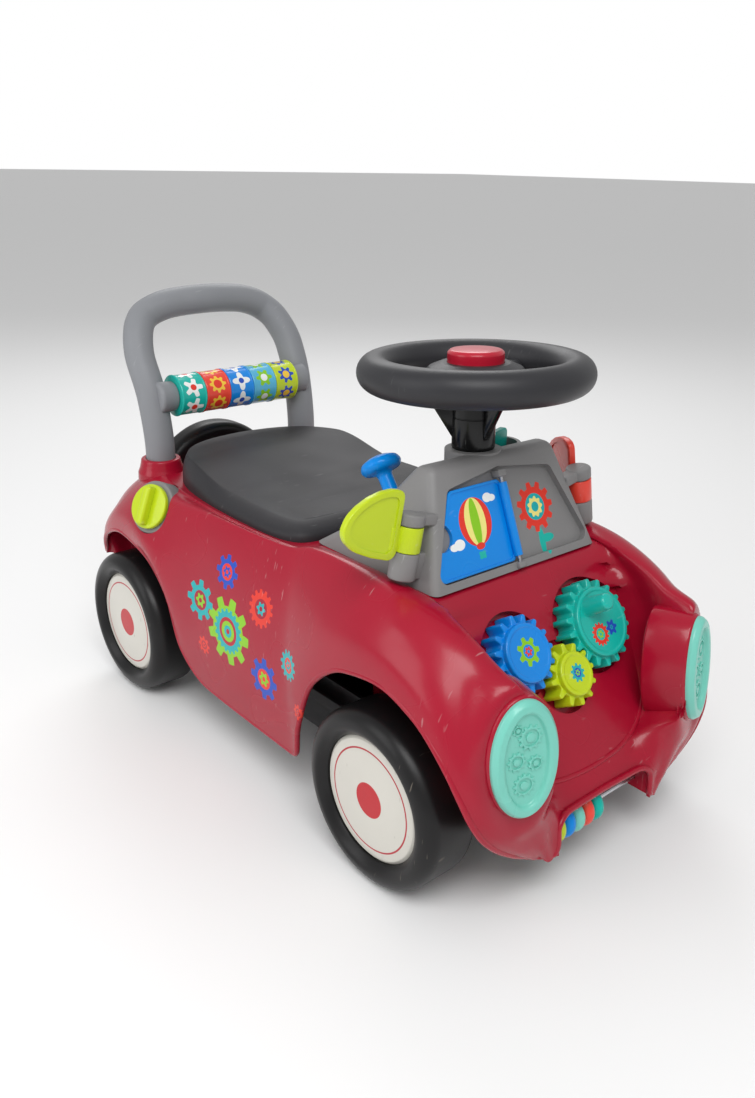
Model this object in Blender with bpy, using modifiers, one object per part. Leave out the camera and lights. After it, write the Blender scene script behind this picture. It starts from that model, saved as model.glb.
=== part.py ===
"""A toddler ride-on car with a moulded body, four wheels, a push handle and many toys to turn and slide.

Metres, +Z up. The front faces -Y and the car's left side is +X. The origin is on the ground,
under the middle of the car.
"""
import math

import bmesh
import bpy
from mathutils import Matrix, Vector

# Driving dimensions: wheels and axles
wheel_radius = 0.079
tyre_width = 0.057
tyre_shoulder = 0.0135
tyre_outer_x = 0.171
wheel_shell = 0.004
wheel_steps = 24
hubcap_radius = 0.056
hubcap_recess = 0.006
hubcap_thickness = 0.005
hubcap_skirt = 0.002
hub_radius = 0.009
axle_radius = 0.005
front_axle_y = -0.1975
wheelbase = 0.424
clearance = 0.0003
push_nut_radius = 0.0085
push_nut_thickness = 0.002

# Driving dimensions: body
body_wall = 0.0035
front_arch_gap = 0.031
rear_arch_gap = 0.026
deck_z = 0.240
dash_deck_z = 0.244
panel_top_y = -0.2005
panel_angle = math.radians(57.8)
hem_z = 0.046
rear_hem_z = 0.130
rear_wall_y = 0.2795
cutout_half_width = 0.062
cutout_top_z = 0.0645
cutout_corner = 0.008
seat_opening_half_width = 0.086
seat_opening_front_y = 0.004
seat_opening_rear_y = 0.186
seat_opening_corner = 0.018

# Driving dimensions: chassis, storage bin and screws
chassis_z = 0.046
chassis_floor = 0.004
chassis_wall = 0.004
chassis_half_width = 0.098
chassis_front_y = -0.262
chassis_rear_y = 0.272
chassis_wall_top_z = 0.108
axle_boss_radius = 0.011
axle_boss_reach = 0.1125
bin_wall = 0.0025
bin_flange = 0.006
screw_radius = 0.002
screw_head_radius = 0.004
screw_head_height = 0.002
screw_length = 0.020
post_radius = 0.007
post_x = 0.074
front_post_y = -0.105
rear_post_y = 0.248

# Driving dimensions: cowl, door and windscreen
cowl_lean = math.radians(22.6)
cowl_foot_half_width = 0.1015
cowl_top_half_width = 0.0745
cowl_top_z = 0.337
cowl_wall = 0.0035
cowl_front_wall = 0.011
cowl_edge_radius = 0.006
cowl_rear_y = -0.0415
cowl_rear_z = 0.2465
recess_depth = 0.006
recess_foot_half_width = 0.095
recess_top_half_width = 0.062
recess_low_s = 0.007
recess_side_s = 0.082
recess_top_s = 0.096
recess_corner = 0.0025
door_thickness = 0.004
door_corner = 0.0025
door_gap = 0.0012
door_top_s = 0.080
door_pin_radius = 0.0015
door_knuckle_radius = 0.004
door_axis_height = 0.0005
notch_s = 0.044
notch_radius = 0.010

# Driving dimensions: steering
steering_tilt = math.radians(2.0)
steering_y = -0.1355
steering_boss_radius = 0.025
steering_boss_depth = 0.045
column_radius = 0.019
column_length = 0.052
shaft_radius = 0.010
column_clip_radius = 0.016
column_clip_thickness = 0.003
ring_radius = 0.086
ring_tube_radius = 0.0153
ring_height = 0.066
hub_disc_radius = 0.045
hub_disc_height = 0.0235
socket_depth = 0.006
fin_foot = 0.010
fin_reach = 0.042
fin_thickness = 0.006
spoke_width = 0.026
spoke_thickness = 0.012
spoke_angles = tuple(math.radians(a) for a in (139.0, 19.0, -101.0))
horn_radius = 0.0243
horn_height = 0.016
horn_travel = 0.003
horn_spring_pressed = 0.001
horn_top = 0.0825
horn_spring_radius = 0.009
spoke_drop = 0.005

# Driving dimensions: mirrors, shift lever and key
mirror_post_foot = Vector((0.1135, -0.1720, 0.2550))
mirror_post_top = Vector((0.1030, -0.1715, 0.3090))
mirror_post_radius = 0.0115
mirror_barrel_low = 0.0235
mirror_barrel_length = 0.021
mirror_arm_reach = 0.024
mirror_arm_depth = 0.013
mirror_pin_inset = 0.003
mirror_paddle_low = 0.0165
mirror_pin_radius = 0.0025
mirror_paddle_thickness = 0.006
mirror_paddle_height = 0.058
mirror_paddle_reach = 0.0580
mirror_fold_right = math.radians(0.0)
mirror_fold_left = math.radians(62.0)
lever_x = -0.068
lever_pivot_y = -0.122
lever_pivot_z = 0.281
lever_lean = math.radians(36.0)
lever_length = 0.052
lever_stem_radius = 0.0065
lever_barrel_radius = 0.008
lever_barrel_width = 0.018
lever_knob_radius = 0.0190
lever_knob_height = 0.015
lever_pin_radius = 0.0025
lever_lug = 0.004
lever_lug_top = 0.0185
lever_slot_height = 0.021
lever_swing = math.radians(16.0)
key_x = 0.046
key_y = -0.122
key_boss_radius = 0.011
key_boss_top_z = 0.316
key_shaft_radius = 0.0045
key_bow_width = 0.030
key_bow_height = 0.024
key_bow_thickness = 0.006
key_bow_corner = 0.006
key_boss_depth = 0.026
key_shaft_end = 0.003
key_stand = 0.003
key_pocket_radius = 0.0175
key_turn = math.radians(20.0)

# Driving dimensions: gears on the bonnet
gear_module = 0.004
blue_teeth = 15
lime_teeth = 12
teal_teeth = 18
gear_addendum = 0.0033
gear_dedendum = 0.0040
gear_backlash = 0.0006
tooth_root_share = 0.31
tooth_tip_share = 0.15
blue_gear_x = -0.0405
teal_gear_x = 0.0555
top_gears_down = 0.0665
gear_face_height = 0.0175
gear_ring_top = 0.0125
gear_bore_radius = 0.0063
spindle_height = 0.008
gear_back = -0.0077
gear_disc_step = 0.001
crank_angle = math.radians(125.0)
pocket_depth = 0.008
pocket_gap = 0.0045
pocket_wall = 0.0035
pocket_stagger = 0.0001
crank_radius = 0.0085
crank_height = 0.024
crank_offset = 0.020

# Driving dimensions: headlights, bead bar and beads
headlight_x = 0.111
headlight_y = -0.3075
headlight_z = 0.157
headlight_half_width = 0.029
headlight_half_height = 0.0485
headlight_plug_depth = 0.018
headlight_hole_depth = 0.022
headlight_stand = 0.012
headlight_rim = 0.0095
headlight_dish = 0.004
headlight_splay = math.radians(17.0)
headlight_tilt = math.radians(5.6)
bead_bar_radius = 0.003
bead_bar_y = -0.2955
bead_bar_z = 0.0575
bead_bore_gap = 0.001
bead_lug_width = 0.006
bead_lug_radius = 0.0075
bead_lug_height = 0.020
bead_radius = 0.0155
bead_tube_radius = 0.0060
bead_gap = 0.0004
bead_start_gap = 0.006

# Driving dimensions: push handle, rollers and rear fittings
handle_radius = 0.01625
handle_foot_z = 0.216
collar_radius = 0.0215
collar_foot_radius = 0.026
collar_top_z = 0.254
collar_foot_z = 0.230
roller_y = 0.2515
roller_z = 0.321
roller_radius = 0.023
roller_count = 5
roller_length = 0.0305
roller_gap = 0.0005
roller_rod_radius = 0.006
roller_rod_seat = 0.010
stub_radius = 0.0165
stub_face_radius = 0.0140
roller_edge = 0.0015
dial_x = 0.1445
dial_y = 0.1790
dial_z = 0.2240
dial_tilt = math.radians(25.0)
dial_turn = math.radians(16.0)
dial_base_radius = 0.0280
dial_base_height = 0.006
dial_base_depth = 0.014
dial_radius = 0.0235
dial_height = 0.006
dial_grip_height = 0.009
dial_grip_width = 0.010
dial_stem_radius = 0.008
dial_head_height = 0.003
spare_radius = 0.085
spare_z = 0.187
spare_front_y = 0.284
spare_width = 0.0325
spare_bore_radius = 0.050
spare_hub_radius = 0.048
spare_shoulder = 0.011
spare_lip = 0.0035
spare_lip_depth = 0.0045
spare_plug_radius = 0.014
spare_plug_length = 0.008
spare_flange_radius = 0.060

# Driving dimensions: seat
seat_front_y = -0.0360
seat_rear_y = 0.2450
seat_height = 0.0150
seat_rise = 0.0150
seat_rise_start_y = 0.0900
seat_rise_end_y = 0.1850
seat_crown = 0.003
seat_side_slope = 0.020
seat_wall = 0.003
seat_pin_radius = 0.0018
seat_pin_behind = 0.0040
seat_pin_z = 0.2441
seat_lug_width = 0.006
seat_lug_x = 0.023
seat_lug_foot_z = 0.2358
seat_lug_radius = 0.0035

rear_axle_y = front_axle_y + wheelbase
seat_pin_y = seat_rear_y + seat_pin_behind
axle_z = wheel_radius
tyre_inner_x = tyre_outer_x - tyre_width
hubcap_face_x = tyre_outer_x - hubcap_recess
web_outer_x = hubcap_face_x - hubcap_thickness - 0.006
web_inner_x = web_outer_x - wheel_shell
axle_half_length = web_outer_x + clearance + push_nut_thickness + 0.001
front_arch_radius = wheel_radius + front_arch_gap
horn_stand = horn_travel + horn_spring_pressed
rear_arch_radius = wheel_radius + rear_arch_gap


def clear_scene():
    for item in list(bpy.data.objects):
        bpy.data.objects.remove(item, do_unlink=True)


def new_collection(name):
    group = bpy.data.collections.new(name)
    bpy.context.scene.collection.children.link(group)
    return group


clear_scene()
car = new_collection("ride_on_car")
cutters = new_collection("cutters")


def new_material(name, colour, roughness, metallic=0.0):
    made = bpy.data.materials.new(name)
    made.use_nodes = True
    shader = made.node_tree.nodes["Principled BSDF"]
    shader.inputs["Base Color"].default_value = (*colour, 1.0)
    shader.inputs["Roughness"].default_value = roughness
    shader.inputs["Metallic"].default_value = metallic
    made.diffuse_color = (*colour, 1.0)
    return made


crimson = new_material("crimson_plastic", (0.42, 0.012, 0.035), 0.28)
grey = new_material("grey_plastic", (0.20, 0.20, 0.21), 0.45)
charcoal = new_material("charcoal_plastic", (0.045, 0.046, 0.052), 0.55)
black = new_material("black_plastic", (0.012, 0.012, 0.013), 0.40)
cream = new_material("cream_plastic", (0.62, 0.58, 0.50), 0.40)
lime = new_material("lime_plastic", (0.48, 0.62, 0.01), 0.35)
blue = new_material("blue_plastic", (0.0, 0.16, 0.75), 0.30)
teal = new_material("teal_plastic", (0.01, 0.36, 0.31), 0.32)
mint = new_material("mint_plastic", (0.23, 0.66, 0.55), 0.30)
sky = new_material("sky_plastic", (0.10, 0.48, 0.68), 0.30)
coral = new_material("coral_plastic", (0.80, 0.07, 0.03), 0.32)
steel = new_material("steel", (0.62, 0.62, 0.64), 0.25, 1.0)


def add(name, mesh, material, group=None, parent=None, location=(0, 0, 0), rotation=(0, 0, 0)):
    item = bpy.data.objects.new(name, mesh)
    (group or car).objects.link(item)
    if material:
        mesh.materials.clear()
        mesh.materials.append(material)
    item.location = location
    item.rotation_euler = rotation
    item.parent = parent
    return item


def empty(name, location, rotation=(0, 0, 0), parent=None):
    item = bpy.data.objects.new(name, None)
    car.objects.link(item)
    item.location = location
    item.rotation_euler = rotation
    item.parent = parent
    return item


def to_mesh(name, bm, smooth=True):
    bmesh.ops.recalc_face_normals(bm, faces=bm.faces)
    mesh = bpy.data.meshes.new(name)
    bm.to_mesh(mesh)
    bm.free()
    if smooth:
        mesh.shade_smooth()
        mesh.set_sharp_from_angle(angle=math.radians(40))
    return mesh


turn_to_axis = {
    "Z": Matrix.Identity(4),
    "X": Matrix.Rotation(math.radians(90), 4, "Y"),
    "Y": Matrix.Rotation(math.radians(-90), 4, "X"),
}


def put_box(bm, size, centre):
    placed = Matrix.Translation(centre) @ Matrix.Diagonal((*size, 1.0))
    return bmesh.ops.create_cube(bm, size=1.0, matrix=placed)["verts"]


def put_cylinder(bm, radius, depth, centre, axis="Z", end_radius=None, segments=24):
    return bmesh.ops.create_cone(
        bm,
        cap_ends=True,
        segments=segments,
        radius1=radius,
        radius2=radius if end_radius is None else end_radius,
        depth=depth,
        matrix=Matrix.Translation(centre) @ turn_to_axis[axis],
    )["verts"]


def around(radius, segments):
    """Radius of a many-sided hole whose flats clear a circle of the given radius."""
    return radius / math.cos(math.pi / segments)


def shape(name, put, material=None, **place):
    """A new object whose mesh is built by put(bm)."""
    bm = bmesh.new()
    put(bm)
    return add(name, to_mesh(name, bm), material, **place)


def tool(name, put, **place):
    """A hidden solid that cuts a part or joins it."""
    item = shape(name, put, None, group=cutters, **place)
    item.hide_render = True
    item.display_type = "WIRE"
    return item


def boolean(target, operation, other, overlapping=False):
    modifier = target.modifiers.new(operation.lower(), "BOOLEAN")
    modifier.operation = operation
    modifier.solver = "EXACT"
    modifier.use_self = overlapping
    modifier.object = other


def bevel(target, width, segments=2, angle=40):
    modifier = target.modifiers.new("bevel", "BEVEL")
    modifier.width = width
    modifier.segments = segments
    modifier.limit_method = "ANGLE"
    modifier.angle_limit = math.radians(angle)


def turned(name, profile, material, steps=24, closed=True, **place):
    """A profile of (radius, height) points turned about the object's own Z axis."""
    area = sum(
        a[0] * b[1] - b[0] * a[1] for a, b in zip(profile, profile[1:] + profile[:1])
    )
    points = list(reversed(profile)) if area > 0 else list(profile)
    mesh = bpy.data.meshes.new(name)
    count = len(points)
    edges = [(i, (i + 1) % count) for i in range(count if closed else count - 1)]
    mesh.from_pydata([(r, 0.0, h) for r, h in points], edges, [])
    item = add(name, mesh, material, **place)
    screw = item.modifiers.new("turn", "SCREW")
    screw.steps = steps
    screw.render_steps = steps
    screw.use_merge_vertices = True
    screw.merge_threshold = 0.00001
    screw.use_smooth_shade = True
    return item


def baked(item):
    """The object's evaluated mesh, with loose ends welded."""
    bpy.context.view_layer.update()
    graph = bpy.context.evaluated_depsgraph_get()
    mesh = bpy.data.meshes.new_from_object(item.evaluated_get(graph))
    bm = bmesh.new()
    bm.from_mesh(mesh)
    bmesh.ops.remove_doubles(bm, verts=bm.verts, dist=0.00002)
    bmesh.ops.recalc_face_normals(bm, faces=bm.faces)
    bm.to_mesh(mesh)
    bm.free()
    return mesh


def solid_from_curve(name, curve, material=None, **place):
    """A curve made into a closed mesh object, so that it can be cut or joined."""
    guide = bpy.data.objects.new(name + "_curve", curve)
    cutters.objects.link(guide)
    mesh = baked(guide)
    bpy.data.objects.remove(guide)
    return add(name, mesh, material, **place)


def plate(name, outline, thickness, material=None, **place):
    """A flat outline of (x, y) points made into a plate centred on its own Z = 0."""
    curve = bpy.data.curves.new(name, "CURVE")
    curve.dimensions = "2D"
    curve.fill_mode = "BOTH"
    curve.extrude = thickness / 2
    spline = curve.splines.new("POLY")
    spline.points.add(len(outline) - 1)
    for point, (x, y) in zip(spline.points, outline):
        point.co = (x, y, 0.0, 1.0)
    spline.use_cyclic_u = True
    return solid_from_curve(name, curve, material, **place)


def hidden(item):
    item.hide_render = True
    item.display_type = "WIRE"
    for group in list(item.users_collection):
        group.objects.unlink(item)
    cutters.objects.link(item)
    return item


def tube(name, points, radius, resolution=3, material=None, **place):
    """A round bar along a list of points, with filled ends."""
    curve = bpy.data.curves.new(name, "CURVE")
    curve.dimensions = "3D"
    curve.bevel_depth = radius
    curve.bevel_resolution = resolution
    curve.use_fill_caps = True
    spline = curve.splines.new("POLY")
    spline.points.add(len(points) - 1)
    for point, place_at in zip(spline.points, points):
        point.co = (*place_at, 1.0)
    return solid_from_curve(name, curve, material, **place)


def slope_of(values, i):
    """The slope at one of equally spaced values that never overshoots them."""
    if i == 0:
        return values[1] - values[0]
    if i == len(values) - 1:
        return values[-1] - values[-2]
    before = values[i] - values[i - 1]
    after = values[i + 1] - values[i]
    if before * after <= 0:
        return 0.0
    return 2 * before * after / (before + after)


def along(values, t):
    """A smooth value at position t along equally spaced values."""
    i = min(int(t), len(values) - 2)
    f = t - i
    a, b = values[i], values[i + 1]
    sa, sb = slope_of(values, i), slope_of(values, i + 1)
    return (
        a * (2 * f**3 - 3 * f**2 + 1)
        + b * (3 * f**2 - 2 * f**3)
        + sa * (f**3 - 2 * f**2 + f)
        + sb * (f**3 - f**2)
    )


def point_along(points, t):
    return Vector([along([p[k] for p in points], t) for k in range(3)])


def smooth_path(points, steps):
    last = len(points) - 1
    return [point_along(points, last * i / steps) for i in range(steps + 1)]


def panel_y(z):
    """Y of the sloping bonnet panel at a height."""
    return panel_top_y - (dash_deck_z - z) / math.tan(panel_angle)


def front_arch(degrees, x):
    a = math.radians(degrees)
    return (x, front_axle_y + front_arch_radius * math.cos(a), axle_z + front_arch_radius * math.sin(a))


def rear_arch(degrees, x):
    a = math.radians(degrees)
    return (x, rear_axle_y + rear_arch_radius * math.cos(a), axle_z + rear_arch_radius * math.sin(a))


# Body shell: five guide lines run from the bumper's lower edge, over the top, to the rear hem.
# Each holds one point for each station; the shell's rows are spaced between them.
bumper_y = -0.316
panel_levels = (0.093, 0.106, 0.124, 0.148, 0.172, 0.197, 0.222)
middle_line = (
    [(0, bumper_y, hem_z), (0, bumper_y + 0.004, 0.070)]
    + [(0, panel_y(z), z) for z in panel_levels]
    + [
        (0, -0.190, dash_deck_z),
        (0, -0.120, dash_deck_z),
        (0, -0.058, dash_deck_z),
        (0, -0.041, deck_z),
        (0, 0.020, deck_z),
        (0, 0.080, deck_z),
        (0, 0.130, deck_z),
        (0, 0.178, deck_z),
        (0, 0.215, deck_z),
        (0, 0.245, deck_z - 0.001),
        (0, 0.268, deck_z - 0.004),
        (0, rear_wall_y, 0.222),
        (0, rear_wall_y, rear_hem_z),
    ]
)
panel_line = [
    (0.045, bumper_y, hem_z),
    (0.052, bumper_y + 0.004, 0.070),
    (0.060, -0.294, 0.097),
    (0.082, -0.287, 0.108),
    (0.098, -0.278, 0.124),
    (0.107, -0.268, 0.148),
    (0.113, -0.257, 0.172),
    (0.116, -0.241, 0.196),
    (0.115, -0.222, 0.222),
    (0.108, -0.196, dash_deck_z),
    (0.107, -0.120, dash_deck_z),
    (0.108, -0.058, dash_deck_z),
    (0.117, -0.041, deck_z),
    (0.1245, 0.020, deck_z),
    (0.1245, 0.080, deck_z),
    (0.121, 0.130, deck_z),
    (0.115, 0.178, deck_z),
    (0.105, 0.215, deck_z),
    (0.094, 0.245, deck_z - 0.0005),
    (0.092, 0.268, deck_z - 0.004),
    (0.092, rear_wall_y, 0.222),
    (0.092, rear_wall_y, rear_hem_z),
]
inner_crown_line = [
    (0.066, -0.315, hem_z),
    (0.074, -0.3135, 0.074),
    (0.080, -0.311, 0.102),
    (0.079, -0.309, 0.122),
    (0.079, -0.306, 0.146),
    (0.083, -0.302, 0.170),
    (0.094, -0.2945, 0.194),
    (0.104, -0.280, 0.210),
    (0.107, -0.252, 0.231),
    (0.107, -0.205, 0.246),
    (0.114, -0.120, 0.252),
    (0.116, -0.064, 0.249),
    (0.123, -0.042, 0.2405),
    (0.128, 0.020, 0.2405),
    (0.129, 0.080, 0.2405),
    (0.126, 0.130, 0.2405),
    (0.122, 0.178, 0.2405),
    (0.116, 0.215, 0.2400),
    (0.110, 0.247, 0.2370),
    (0.108, 0.272, 0.231),
    (0.108, 0.288, 0.212),
    (0.108, 0.290, rear_hem_z),
]
shoulder_line = [
    (0.076, -0.3085, hem_z),
    (0.096, -0.3125, 0.070),
    (0.113, -0.3125, 0.092),
    (0.126, -0.3085, 0.113),
    (0.134, -0.3030, 0.136),
    (0.138, -0.2965, 0.160),
    (0.140, -0.2860, 0.185),
    (0.139, -0.2680, 0.209),
    (0.138, -0.2380, 0.230),
    (0.136, -0.185, 0.248),
    (0.133, -0.125, 0.251),
    (0.130, -0.066, 0.247),
    (0.132, -0.036, 0.240),
    (0.136, 0.025, 0.238),
    (0.140, 0.080, 0.237),
    (0.145, 0.130, 0.235),
    (0.148, 0.178, 0.232),
    (0.148, 0.215, 0.227),
    (0.146, 0.252, 0.215),
    (0.143, 0.280, 0.196),
    (0.140, 0.303, 0.168),
    (0.132, 0.308, rear_hem_z),
]
hem_line = [
    front_arch(195, 0.090),
    front_arch(187, 0.113),
    front_arch(178.5, 0.134),
    front_arch(169, 0.150),
    front_arch(158, 0.159),
    front_arch(146, 0.163),
    front_arch(132, 0.1645),
    front_arch(114, 0.164),
    front_arch(93, 0.163),
    front_arch(68, 0.162),
    front_arch(38, 0.161),
    front_arch(8, 0.159),
    (0.154, -0.076, 0.056),
    (0.152, -0.010, 0.054),
    (0.152, 0.080, 0.056),
    rear_arch(176, 0.157),
    rear_arch(145, 0.160),
    rear_arch(115, 0.161),
    rear_arch(85, 0.160),
    rear_arch(60, 0.156),
    rear_arch(42, 0.149),
    rear_arch(30, 0.142),
]
panel_shares = (0.0, 0.45, 0.91, 1.0)
flank_rows = 2
crown_rows = 2
side_rows = 4
stations_per_step = 2
flank_bulge = 0.002
crown_bulge = 0.004
side_bulge = 0.010
side_bulge_share = 0.14
body_rows = len(panel_shares) - 1 + flank_rows + crown_rows + side_rows
body_columns = (len(middle_line) - 1) * stations_per_step


def bowed(a, b, share, direction, height):
    return a.lerp(b, share) + direction * height * math.sin(math.pi * share)


def outward(a, b, before, after):
    """The way out of the surface, square to the line from a to b and to the run of the guide lines."""
    square = (b - a).cross(after - before)
    return square.normalized() if square.length > 1e-9 else Vector((0, 0, 1))


def body_point(row, station):
    middle, panel, crown, shoulder, hem = (
        point_along(line, station)
        for line in (middle_line, panel_line, inner_crown_line, shoulder_line, hem_line)
    )
    last = len(middle_line) - 1
    before = point_along(shoulder_line, max(station - 0.5, 0))
    after = point_along(shoulder_line, min(station + 0.5, last))
    panel_rows = len(panel_shares) - 1
    if row <= panel_rows:
        share = panel_shares[row]
        flat = Vector((panel.x * share, middle.y, middle.z))
        return flat if share < 1.0 else panel
    row -= panel_rows
    if row <= flank_rows:
        return bowed(panel, crown, row / flank_rows, outward(panel, crown, before, after), flank_bulge)
    row -= flank_rows
    if row <= crown_rows:
        return bowed(crown, shoulder, row / crown_rows, outward(crown, shoulder, before, after), crown_bulge)
    row -= crown_rows
    bulge = min(side_bulge, side_bulge_share * (hem - shoulder).length)
    return bowed(shoulder, hem, row / side_rows, outward(shoulder, hem, before, after), bulge)


def body_surface():
    bm = bmesh.new()
    bmesh.ops.create_grid(bm, x_segments=body_rows, y_segments=body_columns, size=1.0)
    for vertex in bm.verts:
        row = round((vertex.co.x + 1) / 2 * body_rows)
        column = round((vertex.co.y + 1) / 2 * body_columns)
        vertex.co = body_point(row, column / stations_per_step)
    bm.normal_update()
    top = max(bm.faces, key=lambda f: f.calc_center_median().z)
    if top.normal.z < 0:
        bmesh.ops.reverse_faces(bm, faces=bm.faces)
    mesh = bpy.data.meshes.new("body_shell")
    bm.to_mesh(mesh)
    bm.free()
    mesh.shade_smooth()
    mesh.set_sharp_from_angle(angle=math.radians(50))
    return mesh


body_shell = add("body_shell", body_surface(), crimson)
mirror = body_shell.modifiers.new("other_half", "MIRROR")
mirror.use_clip = True
mirror.merge_threshold = 0.00001
solidify = body_shell.modifiers.new("wall", "SOLIDIFY")
solidify.thickness = body_wall
solidify.offset = -1.0
solidify.use_even_offset = False


def rounded(outline, radius, steps=3):
    """A closed (x, y) outline whose corners are rounded by arcs."""
    points = []
    count = len(outline)
    for i, corner in enumerate(outline):
        here = Vector(corner)
        back = (Vector(outline[i - 1]) - here).normalized()
        ahead = (Vector(outline[(i + 1) % count]) - here).normalized()
        half = back.angle(ahead) / 2
        centre = here + (back + ahead).normalized() * (radius / math.sin(half))
        start = here + back * (radius / math.tan(half)) - centre
        end = here + ahead * (radius / math.tan(half)) - centre
        for k in range(steps + 1):
            spoke = start.normalized().slerp(end.normalized(), k / steps)
            points.append(tuple(centre + spoke * radius))
    return points


def rectangle(half_width, low, high):
    return [(-half_width, low), (half_width, low), (half_width, high), (-half_width, high)]


def arc(centre, radius, first, last, steps):
    """(r, h) points along an arc, angles in degrees."""
    angles = [math.radians(first + (last - first) * k / steps) for k in range(steps + 1)]
    return [(centre[0] + radius * math.cos(a), centre[1] + radius * math.sin(a)) for a in angles]


def ring_stack(bm, rings, segments=24, cap_start=True, cap_end=True):
    """Ovals of (half width, half height, z), each joined to the next."""
    loops = []
    for half_width, half_height, z in rings:
        placed = Matrix.Translation((0, 0, z)) @ Matrix.Diagonal((half_width, half_height, 1.0, 1.0))
        made = bmesh.ops.create_circle(bm, cap_ends=False, segments=segments, radius=1.0, matrix=placed)
        loops.append(made["verts"])
    join_loops(bm, loops, cap_start, cap_end)


def join_loops(bm, loops, cap_start=True, cap_end=True):
    for low, high in zip(loops, loops[1:]):
        count = len(low)
        for k in range(count):
            bm.faces.new((low[k], low[(k + 1) % count], high[(k + 1) % count], high[k]))
    if cap_start:
        bm.faces.new(list(reversed(loops[0])))
    if cap_end:
        bm.faces.new(loops[-1])


# Frames that pieces are placed in: the sloping panel, the windscreen, the steering axis
panel_frame = empty("panel_frame", (0, panel_top_y, dash_deck_z), (panel_angle, 0, 0))
windscreen_frame = empty(
    "windscreen_frame", (0, panel_top_y, dash_deck_z), (math.radians(90) - cowl_lean, 0, 0)
)
steering_frame = empty("steering_frame", (0, steering_y, cowl_top_z), (-steering_tilt, 0, 0))


def gear_outer_radius(teeth):
    return teeth * gear_module / 2 + gear_addendum


def lime_place():
    """The lime gear meshes with the two upper ones; this is its centre on the panel."""
    to_blue = (blue_teeth + lime_teeth) * gear_module / 2 + gear_backlash
    to_teal = (teal_teeth + lime_teeth) * gear_module / 2 + gear_backlash
    apart = teal_gear_x - blue_gear_x
    across = (to_blue**2 - to_teal**2 + apart**2) / (2 * apart)
    return (blue_gear_x + across, -top_gears_down - math.sqrt(to_blue**2 - across**2))


gear_places = {
    "blue": (blue_gear_x, -top_gears_down),
    "teal": (teal_gear_x, -top_gears_down),
    "lime": lime_place(),
}
gear_teeth = {"blue": blue_teeth, "teal": teal_teeth, "lime": lime_teeth}


def headlight_frame(side):
    turn = Matrix.Rotation(side * headlight_splay, 4, "Z") @ Matrix.Rotation(
        math.radians(90) - headlight_tilt, 4, "X"
    )
    name = "headlight_frame_left" if side > 0 else "headlight_frame_right"
    place = (side * headlight_x, headlight_y, headlight_z)
    return empty(name, place, turn.to_euler())


headlight_frames = {side: headlight_frame(side) for side in (-1, 1)}
dial_frame = empty(
    "dial_frame", (-dial_x, dial_y, dial_z), (0, dial_tilt - math.radians(90), dial_turn)
)

# Push handle: its centre line, from one foot over the top to the other
handle_foot_x = 0.097
handle_line = [
    (handle_foot_x, roller_y, handle_foot_z),
    (handle_foot_x, roller_y, collar_top_z + 0.008),
    (0.098, roller_y + 0.009, roller_z - 0.003),
    (0.0995, roller_y + 0.0265, roller_z + 0.036),
    (0.0915, roller_y + 0.044, roller_z + 0.066),
    (0.0735, roller_y + 0.055, roller_z + 0.083),
    (0.042, roller_y + 0.0555, roller_z + 0.092),
    (0.0, roller_y + 0.052, roller_z + 0.0945),
]
rollers_span = roller_count * roller_length + (roller_count - 1) * roller_gap
stub_face_x = rollers_span / 2 + roller_gap

posts = [(-post_x, front_post_y), (post_x, front_post_y), (-post_x, rear_post_y), (post_x, rear_post_y)]
post_foot_z = chassis_z + chassis_floor + clearance


def put_posts(bm):
    for x, y in posts:
        top = dash_deck_z if y == front_post_y else deck_z - 0.001
        height = top - body_wall / 2 - post_foot_z
        put_cylinder(bm, post_radius, height, (x, y, post_foot_z + height / 2), segments=10)


def put_post_bores(bm):
    for x, y in posts:
        depth = screw_length * 2
        put_cylinder(bm, screw_radius + clearance, depth, (x, y, post_foot_z), segments=8)


def put_gear_cups(bm, radius_add, low, high):
    for k, (name, (x, y)) in enumerate(gear_places.items()):
        radius = gear_outer_radius(gear_teeth[name]) + pocket_gap + radius_add
        depth = high - low + k * pocket_stagger
        put_cylinder(bm, radius, depth, (x, y, (low + high) / 2), segments=22)


def put_spindles(bm):
    for x, y in gear_places.values():
        low = -pocket_depth - pocket_wall / 2
        high = spindle_height
        put_cylinder(bm, gear_bore_radius - clearance, high - low, (x, y, (low + high) / 2), segments=12)


def put_body_lugs(bm):
    height = seat_pin_z - seat_lug_foot_z
    front = bumper_y + body_wall - 0.001
    rear = bead_bar_y + bead_lug_radius
    for side in (-1, 1):
        place = (side * seat_lug_x, seat_pin_y, seat_lug_foot_z + height / 2)
        put_box(bm, (seat_lug_width, 2 * seat_lug_radius, height), place)
        place = (side * seat_lug_x, seat_pin_y, seat_pin_z)
        put_cylinder(bm, seat_lug_radius, seat_lug_width + 0.0002, place, "X", segments=14)
        x = side * (cutout_half_width + 0.0005 + bead_lug_width / 2)
        put_box(bm, (bead_lug_width, rear - front, bead_lug_height), (x, (rear + front) / 2, bead_bar_z))


def put_collars(bm):
    for side in (-1, 1):
        height = collar_top_z - collar_foot_z
        place = (side * handle_foot_x, roller_y, collar_foot_z + height / 2)
        put_cylinder(bm, collar_foot_radius, height, place, end_radius=collar_radius, segments=16)


def put_body_bores(bm):
    for side in (-1, 1):
        place = (side * handle_foot_x, roller_y, deck_z)
        put_cylinder(bm, around(handle_radius + clearance, 16), 0.080, place, segments=16)
    put_cylinder(bm, seat_pin_radius + clearance, 0.070, (0, seat_pin_y, seat_pin_z), "X", segments=12)
    put_cylinder(bm, bead_bar_radius + clearance, 0.150, (0, bead_bar_y, bead_bar_z), "X", segments=16)
    put_cylinder(bm, spare_plug_radius + clearance, 0.020, (0, rear_wall_y, spare_z), "Y", segments=16)


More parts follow.
